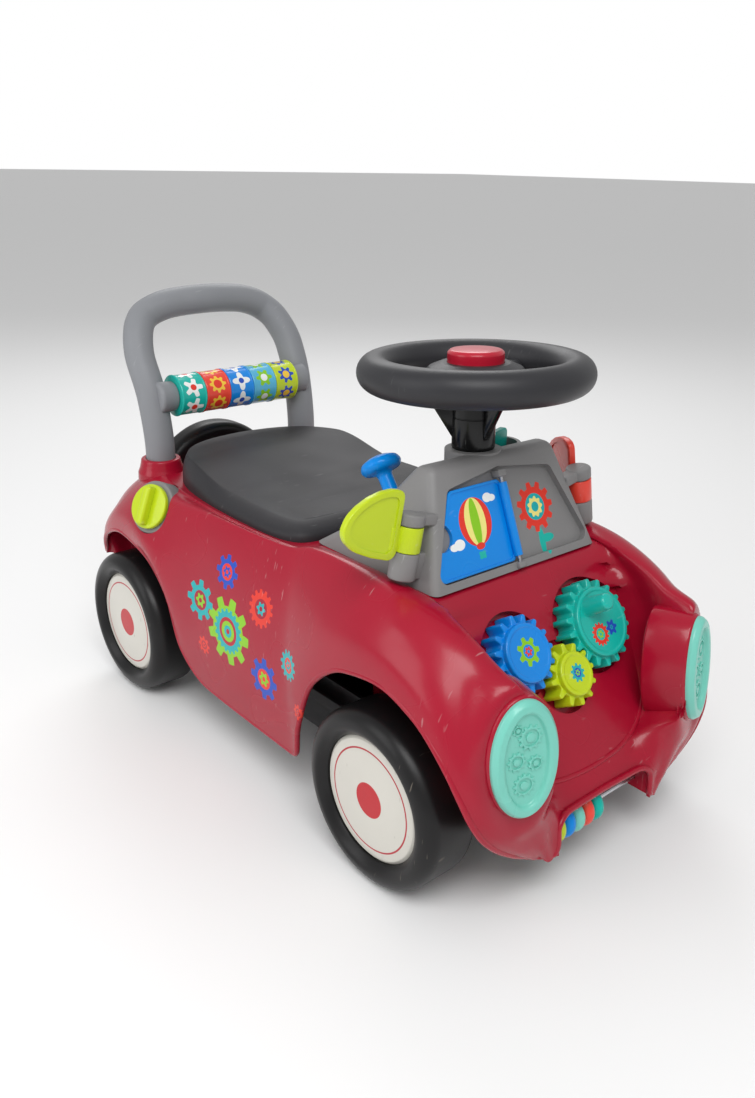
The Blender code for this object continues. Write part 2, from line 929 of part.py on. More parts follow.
def oval_hole(side):
    def put(bm):
        wide, tall = headlight_half_width + clearance, headlight_half_height + clearance
        ring_stack(bm, [(wide, tall, -headlight_hole_depth), (wide, tall, 0.030)], segments=24)

    return put


def make_body():
    boolean(body_shell, "UNION", tool("body_posts", put_posts))
    cups = tool(
        "gear_cups",
        lambda bm: put_gear_cups(bm, pocket_wall, -pocket_depth - pocket_wall, -body_wall / 2),
        parent=panel_frame,
    )
    boolean(body_shell, "UNION", cups, overlapping=True)
    boolean(body_shell, "UNION", tool("body_lugs", put_body_lugs), overlapping=True)
    boolean(body_shell, "UNION", tool("handle_collars", put_collars))
    pockets = tool(
        "gear_pockets",
        lambda bm: put_gear_cups(bm, 0.0, -pocket_depth, 0.040),
        parent=panel_frame,
    )
    boolean(body_shell, "DIFFERENCE", pockets, overlapping=True)
    boolean(body_shell, "UNION", tool("gear_spindles", put_spindles, parent=panel_frame))
    opening = rounded(
        rectangle(seat_opening_half_width, seat_opening_front_y, seat_opening_rear_y), seat_opening_corner
    )
    cut = hidden(plate("seat_opening", opening, 0.030, location=(0, 0, deck_z)))
    boolean(body_shell, "DIFFERENCE", cut)
    low = cutout_top_z - 0.060
    outline = rounded(rectangle(cutout_half_width, low, cutout_top_z), cutout_corner)
    cut = hidden(
        plate("bumper_cutout", outline, 0.040, location=(0, bumper_y, 0), rotation=(math.radians(90), 0, 0))
    )
    boolean(body_shell, "DIFFERENCE", cut)
    boolean(body_shell, "DIFFERENCE", tool("body_bores", put_body_bores))
    boolean(body_shell, "DIFFERENCE", tool("post_bores", put_post_bores))
    for side, frame in headlight_frames.items():
        boolean(body_shell, "DIFFERENCE", tool("headlight_hole", oval_hole(side), parent=frame))
    hole = tool(
        "dial_hole",
        lambda bm: put_cylinder(bm, dial_base_radius + clearance, 0.060, (0, 0, 0.010)),
        parent=dial_frame,
    )
    boolean(body_shell, "DIFFERENCE", hole)


make_body()


# Chassis: a floor pan with side walls that carry both axles, screwed to the body's posts
def make_chassis():
    length = chassis_rear_y - chassis_front_y
    middle_y = (chassis_rear_y + chassis_front_y) / 2
    chassis = shape(
        "chassis",
        lambda bm: put_box(
            bm,
            (2 * chassis_half_width, length, chassis_floor),
            (0, middle_y, chassis_z + chassis_floor / 2),
        ),
        black,
    )

    def put_walls(bm):
        height = chassis_wall_top_z - chassis_z
        for side in (-1, 1):
            x = side * (chassis_half_width - chassis_wall / 2)
            put_box(bm, (chassis_wall, length, height), (x, middle_y, chassis_z + height / 2))
        for y in (chassis_front_y + chassis_wall / 2, chassis_rear_y - chassis_wall / 2):
            put_box(
                bm, (2 * chassis_half_width, chassis_wall, height), (0, y, chassis_z + height / 2)
            )
        for side in (-1, 1):
            reach = axle_boss_reach - chassis_half_width + chassis_wall
            x = side * (axle_boss_reach - reach / 2)
            for y in (front_axle_y, rear_axle_y):
                put_cylinder(bm, axle_boss_radius, reach, (x, y, axle_z), "X", segments=16)

    def put_bores(bm):
        for y in (front_axle_y, rear_axle_y):
            put_cylinder(bm, axle_radius + clearance, 0.300, (0, y, axle_z), "X", segments=16)
        for x, y in posts:
            put_cylinder(bm, screw_radius + clearance, 0.020, (x, y, chassis_z), segments=8)

    boolean(chassis, "UNION", tool("chassis_walls", put_walls), overlapping=True)
    boolean(chassis, "DIFFERENCE", tool("chassis_bores", put_bores))


def make_storage_bin():
    top = deck_z - body_wall - clearance
    foot = post_foot_z
    middle_y = (seat_opening_front_y + seat_opening_rear_y) / 2
    inner = (2 * seat_opening_half_width, seat_opening_rear_y - seat_opening_front_y)
    outer = (inner[0] + 2 * bin_wall, inner[1] + 2 * bin_wall)
    storage_bin = shape(
        "storage_bin",
        lambda bm: put_box(bm, (*outer, top - foot), (0, middle_y, (top + foot) / 2)),
        black,
    )
    rim = tool(
        "bin_flange",
        lambda bm: put_box(
            bm,
            (outer[0] + 2 * bin_flange, outer[1] + 2 * bin_flange, bin_wall),
            (0, middle_y, top - bin_wall / 2),
        ),
    )
    boolean(storage_bin, "UNION", rim)
    hollow = tool(
        "bin_hollow",
        lambda bm: put_box(
            bm, (*inner, top - foot + 0.010), (0, middle_y, (top + foot) / 2 + bin_wall + 0.005)
        ),
    )
    boolean(storage_bin, "DIFFERENCE", hollow)


def make_screws():
    head_z = chassis_z - clearance - screw_head_height / 2
    for k, (x, y) in enumerate(posts):
        screw = shape(
            f"body_screw_{k + 1}",
            lambda bm: put_cylinder(bm, screw_head_radius, screw_head_height, (0, 0, 0), segments=12),
            steel,
            location=(x, y, head_z),
        )
        shank = tool(
            "screw_shank",
            lambda bm: put_cylinder(bm, screw_radius, screw_length, (0, 0, screw_length / 2), segments=12),
            location=(x, y, head_z),
        )
        boolean(screw, "UNION", shank)


make_chassis()
make_storage_bin()
make_screws()


# Wheels: each turns on a fixed steel axle, with a hubcap in its outer face
def wheel_profile():
    bore = axle_radius + clearance
    recess = hubcap_radius + clearance
    hub_in = axle_boss_reach + 0.0005 - tyre_inner_x
    web_in = web_inner_x - tyre_inner_x
    web_out = web_outer_x - tyre_inner_x
    edge = wheel_radius - tyre_shoulder
    lip = edge - wheel_shell
    inside = wheel_radius - wheel_shell
    return (
        [(bore, hub_in), (bore, web_out), (recess, web_out), (recess, tyre_width)]
        + arc((edge, tyre_width - tyre_shoulder), tyre_shoulder, 90, 0, 2)
        + arc((edge, tyre_shoulder), tyre_shoulder, 0, -90, 1)
        + [(lip, 0.0), (inside, tyre_shoulder), (inside, web_in), (hub_radius, web_in), (hub_radius, hub_in)]
    )


def hubcap_profile():
    face = hubcap_face_x - tyre_inner_x
    back = face - hubcap_thickness
    foot = web_outer_x + clearance - tyre_inner_x
    skirt = hubcap_radius - hubcap_skirt
    return [
        (0.0, face),
        (hubcap_radius - 0.006, face),
        (hubcap_radius, face - 0.0012),
        (hubcap_radius, back),
        (skirt, back),
        (skirt, foot),
        (skirt - hubcap_skirt, foot),
        (skirt - hubcap_skirt, back),
        (0.0, back),
    ]


flat_turn = math.pi / wheel_steps
corners = {"front": front_axle_y, "rear": rear_axle_y}
for end, axle_y in corners.items():
    for side, side_name in ((-1, "right"), (1, "left")):
        place = {
            "location": (side * tyre_inner_x, axle_y, axle_z),
            "rotation": Matrix.Rotation(side * math.radians(90), 4, "Y").to_euler(),
        }
        hub = empty(f"hub_{end}_{side_name}", place["location"], place["rotation"])
        spun = {"parent": hub, "rotation": (0, 0, flat_turn), "steps": wheel_steps}
        turned(f"wheel_{end}_{side_name}", wheel_profile(), black, **spun)
        turned(f"hubcap_{end}_{side_name}", hubcap_profile(), cream, closed=False, **spun)
    shape(
        f"{end}_axle",
        lambda bm, y=axle_y: put_cylinder(
            bm, axle_radius, 2 * axle_half_length, (0, y, axle_z), "X", segments=16
        ),
        steel,
    )


def make_push_nut(name, side, y):
    x = side * (web_outer_x + clearance + push_nut_thickness / 2)
    bore = axle_radius + clearance
    half = push_nut_thickness / 2
    ring = [(push_nut_radius, -half), (push_nut_radius, half), (bore, half), (bore, -half)]
    across = (0, math.radians(90), 0)
    turned(name, ring, steel, steps=16, location=(x, y, axle_z), rotation=across)


for end, axle_y in corners.items():
    make_push_nut(f"push_nut_{end}_right", -1, axle_y)
    make_push_nut(f"push_nut_{end}_left", 1, axle_y)


# Cowl: the grey dash with its sloping windscreen, mirror arms and bosses
def cowl_half_width(z, inset):
    share = (z - dash_deck_z) / (cowl_top_z - dash_deck_z)
    return cowl_foot_half_width + (cowl_top_half_width - cowl_foot_half_width) * share - inset


def cowl_form(name, inset, front_inset, foot_z):
    lean = math.tan(cowl_lean)
    down = inset / math.cos(math.radians(40))

    def windscreen_y(z):
        return panel_top_y + (z - dash_deck_z) * lean + front_inset / math.cos(cowl_lean)

    top_z = cowl_top_z - inset
    outline = [
        (windscreen_y(foot_z), foot_z),
        (cowl_rear_y - inset, foot_z),
        (cowl_rear_y - inset, cowl_rear_z - down),
        (-0.080, 0.270 - down),
        (-0.118, 0.305 - down),
        (-0.144, top_z),
        (windscreen_y(top_z), top_z),
    ]
    form = plate(name, outline, 2.0, grey)
    for vertex in form.data.vertices:
        y, z, side = vertex.co
        vertex.co = (side * cowl_half_width(z, inset), y, z)
    return form


def mirror_frame(side):
    foot = Vector((side * mirror_post_foot.x, mirror_post_foot.y, mirror_post_foot.z))
    top = Vector((side * mirror_post_top.x, mirror_post_top.y, mirror_post_top.z))
    up = (top - foot).normalized()
    ahead = up.cross(Vector((1, 0, 0))).normalized()
    turn = Matrix((ahead.cross(up), ahead, up)).transposed()
    name = "mirror_frame_left" if side > 0 else "mirror_frame_right"
    return empty(name, foot, turn.to_euler())


mirror_frames = {side: mirror_frame(side) for side in (-1, 1)}
mirror_length = (mirror_post_top - mirror_post_foot).length
barrel_low = mirror_barrel_low
barrel_high = barrel_low + mirror_barrel_length


def put_knuckles(side):
    def put(bm):
        for low, high in ((0.0, barrel_low - clearance), (barrel_high + clearance, mirror_length)):
            middle = (low + high) / 2
            put_cylinder(bm, mirror_post_radius, high - low, (0, 0, middle), segments=12)
            inner = mirror_arm_reach
            put_box(bm, (inner, mirror_arm_depth, high - low - 0.001), (-side * inner / 2, 0, middle))

    return put


lever_frame = empty("lever_frame", (lever_x, lever_pivot_y, lever_pivot_z), (-lever_lean, 0, 0))


def put_lever_lugs(bm):
    for side in (-1, 1):
        x = side * (lever_barrel_width / 2 + clearance + lever_lug / 2)
        put_box(bm, (lever_lug, 0.014, lever_lug_top + 0.008), (x, 0, (lever_lug_top - 0.008) / 2))


def put_door_lugs(bm):
    for low, high in ((0.001, recess_low_s - 0.0005), (door_top_s + door_gap, door_top_s + door_gap + 0.006)):
        height = recess_depth + door_knuckle_radius + door_axis_height
        put_box(bm, (0.009, high - low, height), (0, (low + high) / 2, height / 2 - recess_depth - 0.0005))


def make_cowl():
    cowl = cowl_form("cowl", 0.0, 0.0, dash_deck_z + clearance)
    bevel(cowl, cowl_edge_radius, angle=20)
    hollow = hidden(cowl_form("cowl_hollow", cowl_wall, cowl_front_wall, dash_deck_z - 0.010))
    place = (key_x, key_y, key_boss_top_z + 0.020)
    backing = tool(
        "key_pocket_wall",
        lambda bm: put_cylinder(bm, key_pocket_radius + cowl_wall, 0.060, place, segments=24),
    )
    boolean(hollow, "DIFFERENCE", backing)
    boolean(cowl, "DIFFERENCE", hollow)
    pocket = tool(
        "key_pocket",
        lambda bm: put_cylinder(
            bm, key_pocket_radius, 0.060, (key_x, key_y, key_boss_top_z + 0.030), segments=24
        ),
    )
    boolean(cowl, "DIFFERENCE", pocket)
    boss = tool(
        "steering_boss",
        lambda bm: put_cylinder(
            bm, steering_boss_radius, steering_boss_depth, (0, 0, -steering_boss_depth / 2), segments=18
        ),
        parent=steering_frame,
    )
    boolean(cowl, "UNION", boss)
    key_boss_foot = key_boss_top_z - key_boss_depth
    boss = tool(
        "key_boss",
        lambda bm: put_cylinder(
            bm,
            key_boss_radius,
            key_boss_depth,
            (key_x, key_y, key_boss_foot + key_boss_depth / 2),
            segments=16,
        ),
    )
    boolean(cowl, "UNION", boss)
    for side, frame in mirror_frames.items():
        boolean(cowl, "UNION", tool("mirror_knuckles", put_knuckles(side), parent=frame), overlapping=True)
    boolean(cowl, "UNION", tool("lever_lugs", put_lever_lugs, parent=lever_frame))
    outline = rounded(
        [
            (-recess_foot_half_width, recess_low_s),
            (recess_foot_half_width, recess_low_s),
            (recess_top_half_width, recess_side_s),
            (0.0, recess_top_s),
            (-recess_top_half_width, recess_side_s),
        ],
        recess_corner,
    )
    cut = plate("windscreen_recess", outline, 0.040, parent=windscreen_frame)
    cut.location = (0, 0, 0.020 - recess_depth)
    boolean(cowl, "DIFFERENCE", hidden(cut))
    boolean(cowl, "UNION", tool("door_lugs", put_door_lugs, parent=windscreen_frame))

    bore = tool(
        "shaft_bore",
        lambda bm: put_cylinder(bm, shaft_radius + clearance, 0.120, (0, 0, -0.030)),
        parent=steering_frame,
    )
    boolean(cowl, "DIFFERENCE", bore)
    bore = tool(
        "key_bore",
        lambda bm: put_cylinder(
            bm, key_shaft_radius + clearance, 0.060, (key_x, key_y, key_boss_top_z), segments=16
        ),
    )
    boolean(cowl, "DIFFERENCE", bore)
    for side, frame in mirror_frames.items():
        bore = tool(
            "mirror_bore",
            lambda bm: put_cylinder(
                bm,
                mirror_pin_radius + clearance,
                mirror_length - 2 * mirror_pin_inset,
                (0, 0, mirror_length / 2),
                segments=8,
            ),
            parent=frame,
        )
        boolean(cowl, "DIFFERENCE", bore)
    slot = tool(
        "lever_slot",
        lambda bm: put_box(
            bm,
            (
                2 * lever_stem_radius + 0.004,
                2 * (lever_stem_radius + 0.002 + lever_slot_height * math.sin(lever_swing)),
                0.030,
            ),
            (0, 0, lever_slot_height + 0.006),
        ),
        parent=lever_frame,
    )
    boolean(cowl, "DIFFERENCE", slot)
    bore = tool(
        "lever_pin_bore",
        lambda bm: put_cylinder(
            bm, lever_pin_radius + clearance, lever_pin_length + 2 * clearance, (0, 0, 0), "X", segments=12
        ),
        parent=lever_frame,
    )
    boolean(cowl, "DIFFERENCE", bore)
    axis_place = (0, (recess_low_s + door_top_s) / 2, door_axis_height)
    bore = tool(
        "door_pin_bore",
        lambda bm: put_cylinder(
            bm, door_pin_radius + clearance, door_pin_length + 2 * clearance, axis_place, "Y", segments=12
        ),
        parent=windscreen_frame,
    )
    boolean(cowl, "DIFFERENCE", bore)


lever_pin_length = lever_barrel_width + 2 * clearance + 2 * lever_lug
door_pin_length = door_top_s - recess_low_s + 2 * 0.0045
make_cowl()


# Steering: a sleeve and shaft, held by a clip under the dash, carry the wheel and its horn button
def make_steering():
    shaft_foot = -(steering_boss_depth + column_clip_thickness + 2 * clearance)
    column = turned(
        "steering_column",
        [
            (0.0, column_length),
            (column_radius, column_length),
            (column_radius, clearance),
            (shaft_radius, clearance),
            (shaft_radius, shaft_foot),
            (0.0, shaft_foot),
        ],
        black,
        steps=20,
        closed=False,
        parent=steering_frame,
    )
    fin_top = column_length - socket_depth - clearance
    fin = [
        (column_radius - 0.003, fin_foot),
        (column_radius, fin_foot),
        (fin_reach, fin_top - 0.001),
        (fin_reach, fin_top),
        (column_radius - 0.003, fin_top),
    ]
    for angle in spoke_angles:
        blade = hidden(plate("column_fin", fin, fin_thickness, parent=steering_frame))
        blade.rotation_euler = (math.radians(90), 0, angle)
        boolean(column, "UNION", blade)
    clip_top = -(steering_boss_depth + clearance)
    bore = shaft_radius + clearance
    turned(
        "column_clip",
        [
            (column_clip_radius, clip_top),
            (column_clip_radius, clip_top - column_clip_thickness),
            (bore, clip_top - column_clip_thickness),
            (bore, clip_top),
        ],
        steel,
        steps=20,
        parent=steering_frame,
    )
    hub_foot = column_length + clearance - socket_depth
    hub_top = hub_foot + hub_disc_height
    floor = horn_top - horn_height - horn_stand

    def put_spokes(bm):
        reach = ring_radius - 0.020
        for angle in spoke_angles:
            placed = Matrix.Rotation(angle, 4, "Z") @ Matrix.Translation(
                (0.020 + reach / 2, 0, ring_height - spoke_drop)
            )
            placed = placed @ Matrix.Diagonal((reach, spoke_width, spoke_thickness, 1.0))
            bmesh.ops.create_cube(bm, size=1.0, matrix=placed)
        put_cylinder(bm, hub_disc_radius, hub_disc_height, (0, 0, (hub_foot + hub_top) / 2), segments=32)

    wheel = turned(
        "steering_wheel",
        arc((ring_radius, ring_height), ring_tube_radius, 0, 324, 9),
        charcoal,
        steps=28,
        parent=steering_frame,
    )
    boolean(wheel, "UNION", tool("steering_spokes", put_spokes, parent=steering_frame), overlapping=True)

    def put_sockets(bm):
        put_cylinder(
            bm, column_radius + clearance, 2 * socket_depth, (0, 0, hub_foot), segments=24
        )
        put_cylinder(bm, horn_radius + clearance, 0.040, (0, 0, floor + 0.020), segments=32)

    boolean(wheel, "DIFFERENCE", tool("steering_sockets", put_sockets, parent=steering_frame))
    horn_foot = horn_top - horn_height
    turned(
        "horn_button",
        [
            (0.0, horn_top),
            (horn_radius * 0.6, horn_top - 0.001),
            (horn_radius - 0.003, horn_top - 0.003),
            (horn_radius, horn_top - 0.006),
            (horn_radius, horn_foot),
            (0.0, horn_foot),
        ],
        crimson,
        steps=20,
        closed=False,
        parent=steering_frame,
    )
    spring_height = horn_stand - 2 * clearance
    shape(
        "horn_spring",
        lambda bm: put_cylinder(
            bm, horn_spring_radius, spring_height, (0, 0, floor + clearance + spring_height / 2), segments=16
        ),
        steel,
        parent=steering_frame,
    )


make_steering()


# Door: it opens sideways about a pin in the middle of the windscreen
def make_door():
    low = recess_low_s + door_gap
    axis_x = 0.0
    foot = recess_foot_half_width - door_gap
    lean = (recess_foot_half_width - recess_top_half_width) / (recess_side_s - recess_low_s)
    top = recess_foot_half_width - lean * (door_top_s - recess_low_s) - door_gap * 1.3
    outline = rounded([(-foot, low), (axis_x, low), (axis_x, door_top_s), (-top, door_top_s)], door_corner, 2)
    door = plate("peekaboo_door", outline, door_thickness, blue)
    for vertex in door.data.vertices:
        vertex.co.z += door_thickness / 2 + clearance - recess_depth - door_axis_height
    door.parent = windscreen_frame
    door.location = (axis_x, 0, door_axis_height)
    middle = (low + door_top_s) / 2
    long = door_top_s - low
    barrel = tool(
        "door_barrel",
        lambda bm: put_cylinder(
            bm, door_knuckle_radius, long - 3 * door_corner, (0, middle, 0), "Y", segments=14
        ),
    )
    barrel.parent = windscreen_frame
    barrel.location = door.location
    boolean(door, "UNION", barrel)
    edge = foot - lean * (notch_s - low)
    notch = tool(
        "door_notch",
        lambda bm: put_cylinder(bm, notch_radius, 0.030, (-edge - 0.001, notch_s, 0), segments=16),
        parent=windscreen_frame,
    )
    boolean(door, "DIFFERENCE", notch)
    bore = tool(
        "door_bore",
        lambda bm: put_cylinder(
            bm, door_pin_radius + clearance, 2 * long, (0, middle, door_axis_height), "Y", segments=12
        ),
        parent=windscreen_frame,
    )
    boolean(door, "DIFFERENCE", bore)
    centre = (0, (recess_low_s + door_top_s) / 2, door_axis_height)
    shape(
        "door_pin",
        lambda bm: put_cylinder(bm, door_pin_radius, door_pin_length, centre, "Y", segments=12),
        steel,
        parent=windscreen_frame,
    )


make_door()


# Mirrors: a coloured paddle turns between two knuckles on each side of the dash
def make_mirror(side, name, material, fold):
    frame = mirror_frames[side]
    near = mirror_post_radius + 0.0012
    reach = mirror_paddle_reach
    low = mirror_paddle_low
    high = low + mirror_paddle_height
    tall = high - low
    barrel_middle = (barrel_low + barrel_high) / 2
    outline = [
        (near, low + 0.10 * tall),
        (near + 0.10 * reach, low),
        (near + 0.45 * reach, low + 0.06 * tall),
        (near + 0.75 * reach, low + 0.15 * tall),
        (near + 0.95 * reach, low + 0.30 * tall),
        (near + reach, low + 0.44 * tall),
        (near + 0.93 * reach, low + 0.63 * tall),
        (near + 0.80 * reach, low + 0.76 * tall),
        (near + 0.62 * reach, low + 0.88 * tall),
        (near + 0.42 * reach, low + 0.96 * tall),
        (near + 0.22 * reach, high),
        (near + 0.06 * reach, low + 0.97 * tall),
        (near, low + 0.90 * tall),
    ]
    outline = [(side * x, z) for x, z in outline]
    paddle = plate(name, outline, mirror_paddle_thickness, material, parent=frame)
    for vertex in paddle.data.vertices:
        x, z, y = vertex.co
        vertex.co = (x, -y, z)
    paddle.rotation_euler = (0, 0, fold)
    barrel = tool(
        "mirror_barrel",
        lambda bm: put_cylinder(
            bm, mirror_post_radius, barrel_high - barrel_low, (0, 0, barrel_middle), segments=14
        ),
        parent=frame,
    )
    boolean(paddle, "UNION", barrel)
    neck = tool(
        "mirror_neck",
        lambda bm: put_box(
            bm,
            (near + 0.008, mirror_paddle_thickness - 0.001, barrel_high - barrel_low - 0.001),
            (side * (near + 0.008) / 2, 0, barrel_middle),
        ),
        parent=frame,
    )
    neck.rotation_euler = (0, 0, fold)
    boolean(paddle, "UNION", neck)
    bore = tool(
        "mirror_barrel_bore",
        lambda bm: put_cylinder(
            bm, mirror_pin_radius + clearance, mirror_length, (0, 0, mirror_length / 2), segments=12
        ),
        parent=frame,
    )
    boolean(paddle, "DIFFERENCE", bore)
    pin_length = mirror_length - 2 * mirror_pin_inset - 2 * clearance
    shape(
        name + "_pin",
        lambda bm: put_cylinder(bm, mirror_pin_radius, pin_length, (0, 0, mirror_length / 2), segments=12),
        steel,
        parent=frame,
    )


make_mirror(-1, "mirror_right", lime, mirror_fold_right)
make_mirror(1, "mirror_left", coral, mirror_fold_left)


# Shift lever: a stem with a round knob, on a pin between two lugs inside the dash
def make_lever():
    knob_top = lever_length + lever_knob_height / 2
    knob_foot = lever_length - lever_knob_height / 2
    lever = turned(
        "shift_lever",
        [
            (0.0, knob_top),
            (lever_knob_radius * 0.55, knob_top - 0.0012),
            (lever_knob_radius * 0.85, knob_top - 0.004),
            (lever_knob_radius, knob_top - 0.009),
            (lever_knob_radius * 0.80, knob_foot + 0.001),
            (lever_stem_radius, knob_foot),
            (lever_stem_radius, 0.0),
            (0.0, 0.0),
        ],
        blue,
        steps=20,
        closed=False,
        parent=lever_frame,
    )
    barrel = tool(
        "lever_barrel",
        lambda bm: put_cylinder(bm, lever_barrel_radius, lever_barrel_width, (0, 0, 0), "X", segments=16),
        parent=lever_frame,
    )
    boolean(lever, "UNION", barrel)
    bore = tool(
        "lever_bore",
        lambda bm: put_cylinder(
            bm, lever_pin_radius + clearance, 2 * lever_barrel_width, (0, 0, 0), "X", segments=12
        ),
        parent=lever_frame,
    )
    boolean(lever, "DIFFERENCE", bore)
    shape(
        "lever_pin",
        lambda bm: put_cylinder(bm, lever_pin_radius, lever_pin_length, (0, 0, 0), "X", segments=12),
        steel,
        parent=lever_frame,
    )


make_lever()


# Key: it turns in the boss beside the steering wheel
def make_key():
    frame = empty("key_frame", (key_x, key_y, key_boss_top_z), (0, 0, key_turn))
    outline = rounded(
        rectangle(key_bow_width / 2, key_stand, key_stand + key_bow_height), key_bow_corner, 3
    )
    key = plate("ignition_key", outline, key_bow_thickness, teal, parent=frame)
    for vertex in key.data.vertices:
        x, z, y = vertex.co
        vertex.co = (x, -y, z)

    def put_stem(bm):
        low = -key_boss_depth - key_shaft_end
        high = key_stand + 0.004
        put_cylinder(bm, key_shaft_radius, high - low, (0, 0, (high + low) / 2), segments=16)

    def put_collar(bm):
        height = key_stand + 0.001 - clearance
        put_cylinder(bm, key_boss_radius * 0.8, height, (0, 0, clearance + height / 2), segments=16)

    boolean(key, "UNION", tool("key_stem", put_stem, parent=frame))
    boolean(key, "UNION", tool("key_collar", put_collar, parent=frame))


make_key()


# Gears on the bonnet: they mesh, so one turn of the crank turns all three
def gear_outline(teeth):
    pitch = teeth * gear_module / 2
    outer = pitch + gear_addendum
    root = pitch - gear_dedendum
    step = 2 * math.pi / teeth
    points = []
    for k in range(teeth):
        middle = k * step
        half_teeth = (
            (root, -tooth_root_share),
            (outer, -tooth_tip_share),
            (outer, tooth_tip_share),
            (root, tooth_root_share),
        )
        for radius, part in half_teeth:
            angle = middle + part * step
            points.append((radius * math.cos(angle), radius * math.sin(angle)))
    return points


def gear_turn(name):
    """The turn that sets the gear's teeth in the spaces of the lime gear."""
    here = Vector(gear_places["lime"])
    if name == "lime":
        return 0.0
    toward = Vector(gear_places[name]) - here
    out = math.atan2(toward.y, toward.x)
    lime_step = 2 * math.pi / lime_teeth
    phase = (out / lime_step) % 1.0
    step = 2 * math.pi / gear_teeth[name]
    return out + math.pi + (phase + 0.5) * step


def make_gear(name, material):
    teeth = gear_teeth[name]
    x, y = gear_places[name]
    frame = empty("gear_frame_" + name, (x, y, 0), (0, 0, gear_turn(name)), parent=panel_frame)
    height = gear_ring_top - gear_back
    gear = plate("gear_" + name, gear_outline(teeth), height, material, parent=frame)
    for vertex in gear.data.vertices:
        vertex.co.z += (gear_ring_top + gear_back) / 2
    disc_radius = teeth * gear_module / 2 - gear_dedendum - gear_disc_step

    def put_disc(bm):
        high = gear_face_height - gear_back - 0.001
        put_cylinder(bm, disc_radius, high, (0, 0, gear_face_height - high / 2), segments=28)

    boolean(gear, "UNION", tool("gear_disc", put_disc, parent=frame))
    if name == "teal":
        crank = tool(
            "crank_knob",
            lambda bm: put_cylinder(
                bm,
                crank_radius,
                crank_height + 0.004,
                (
                    crank_offset * math.cos(crank_angle - gear_turn(name)),
                    crank_offset * math.sin(crank_angle - gear_turn(name)),
                    gear_face_height + crank_height / 2 - 0.002,
                ),
                end_radius=crank_radius * 0.85,
                segments=20,
            ),
            parent=frame,
        )
        boolean(gear, "UNION", crank)
    bore_top = spindle_height + clearance
    depth = bore_top - gear_back + 0.010
    bore = tool(
        "gear_bore",
        lambda bm: put_cylinder(bm, gear_bore_radius, depth, (0, 0, bore_top - depth / 2), segments=16),
        parent=frame,
    )
    boolean(gear, "DIFFERENCE", bore)


for gear_name, gear_material in (("blue", blue), ("teal", teal), ("lime", lime)):
    make_gear(gear_name, gear_material)


# Headlights: an oval lamp with a dished face, pushed into a hole in each front fender
def make_headlight(side, name):
    wide, tall = headlight_half_width, headlight_half_height
    rim = headlight_rim
    back = -headlight_plug_depth
    front = headlight_stand

    def put_lamp(bm):
        rings = [
            (wide - 0.002, tall - 0.002, back),
            (wide, tall, back + 0.003),
            (wide, tall, front - 0.004),
            (wide - 0.0015, tall - 0.0015, front - 0.0012),
            (wide - 0.004, tall - 0.004, front),
            (wide - rim, tall - rim, front - 0.0005),
            (wide - rim - 0.0015, tall - rim - 0.0015, front - headlight_dish),
        ]
        ring_stack(bm, rings, segments=24)

    shape(name, put_lamp, mint, parent=headlight_frames[side])


make_headlight(-1, "headlight_right")
make_headlight(1, "headlight_left")


# Beads that slide on a rod across the cut-out in the bumper
def make_beads():
    half_length = cutout_half_width + bead_lug_width - 0.0005
    shape(
        "bead_bar",
        lambda bm: put_cylinder(
            bm, bead_bar_radius, 2 * half_length, (0, bead_bar_y, bead_bar_z), "X", segments=16
        ),
        steel,
    )
    centre = bead_radius - bead_tube_radius
    across = Matrix.Rotation(math.radians(90), 4, "Y").to_euler()
    colours = (lime, blue, mint, coral, teal)
    pitch = 2 * bead_tube_radius + bead_gap
    start = -cutout_half_width + bead_start_gap + bead_tube_radius
    for k, colour in enumerate(colours):
        place = (start + k * pitch, bead_bar_y, bead_bar_z)
        bore = bead_bar_radius + bead_bore_gap
        profile = arc((centre, 0.0), bead_tube_radius, -100, 100, 5) + [
            (bore, bead_tube_radius - 0.0015),
            (bore, -bead_tube_radius + 0.0015),
        ]
        turned(f"bead_{k + 1}", profile, colour, steps=14, location=place, rotation=across)


make_beads()


# Push handle with its rod of rollers
def make_handle():
    half = list(handle_line)
    whole = half + [(-x, y, z) for x, y, z in reversed(half[:-1])]
    handle = tube("push_handle", smooth_path(whole, 26), handle_radius, 3, grey)

    def put_stubs(bm):
        for side in (-1, 1):
            reach = handle_foot_x + 0.002 - stub_face_x
            centre = (side * (stub_face_x + reach / 2), roller_y, roller_z)
            radii = (stub_radius, stub_face_radius)
            wide, narrow = radii if side < 0 else tuple(reversed(radii))
            put_cylinder(bm, wide, reach, centre, "X", end_radius=narrow, segments=24)

    boolean(handle, "UNION", tool("roller_stubs", put_stubs))
    rod_end = stub_face_x + roller_rod_seat

    def put_rod_seat(bm):
        length = 2 * rod_end + 2 * clearance
        place = (0, roller_y, roller_z)
        put_cylinder(bm, roller_rod_radius + clearance, length, place, "X", segments=16)

    boolean(handle, "DIFFERENCE", tool("rod_seats", put_rod_seat))
    shape(
        "roller_rod",
        lambda bm: put_cylinder(
            bm, roller_rod_radius, 2 * rod_end, (0, roller_y, roller_z), "X", segments=16
        ),
        steel,
    )
    across = Matrix.Rotation(math.radians(90), 4, "Y").to_euler()
    half_length = roller_length / 2
    bore = roller_rod_radius + clearance
    edge = roller_edge
    profile = [
        (roller_radius - edge, -half_length),
        (roller_radius, -half_length + edge),
        (roller_radius, half_length - edge),
        (roller_radius - edge, half_length),
        (bore, half_length),
        (bore, -half_length),
    ]
    for k, colour in enumerate((teal, coral, blue, sky, lime)):
        x = (k - (roller_count - 1) / 2) * (roller_length + roller_gap)
        turned(
            f"roller_{k + 1}", profile, colour, steps=18, location=(x, roller_y, roller_z), rotation=across
        )


make_handle()


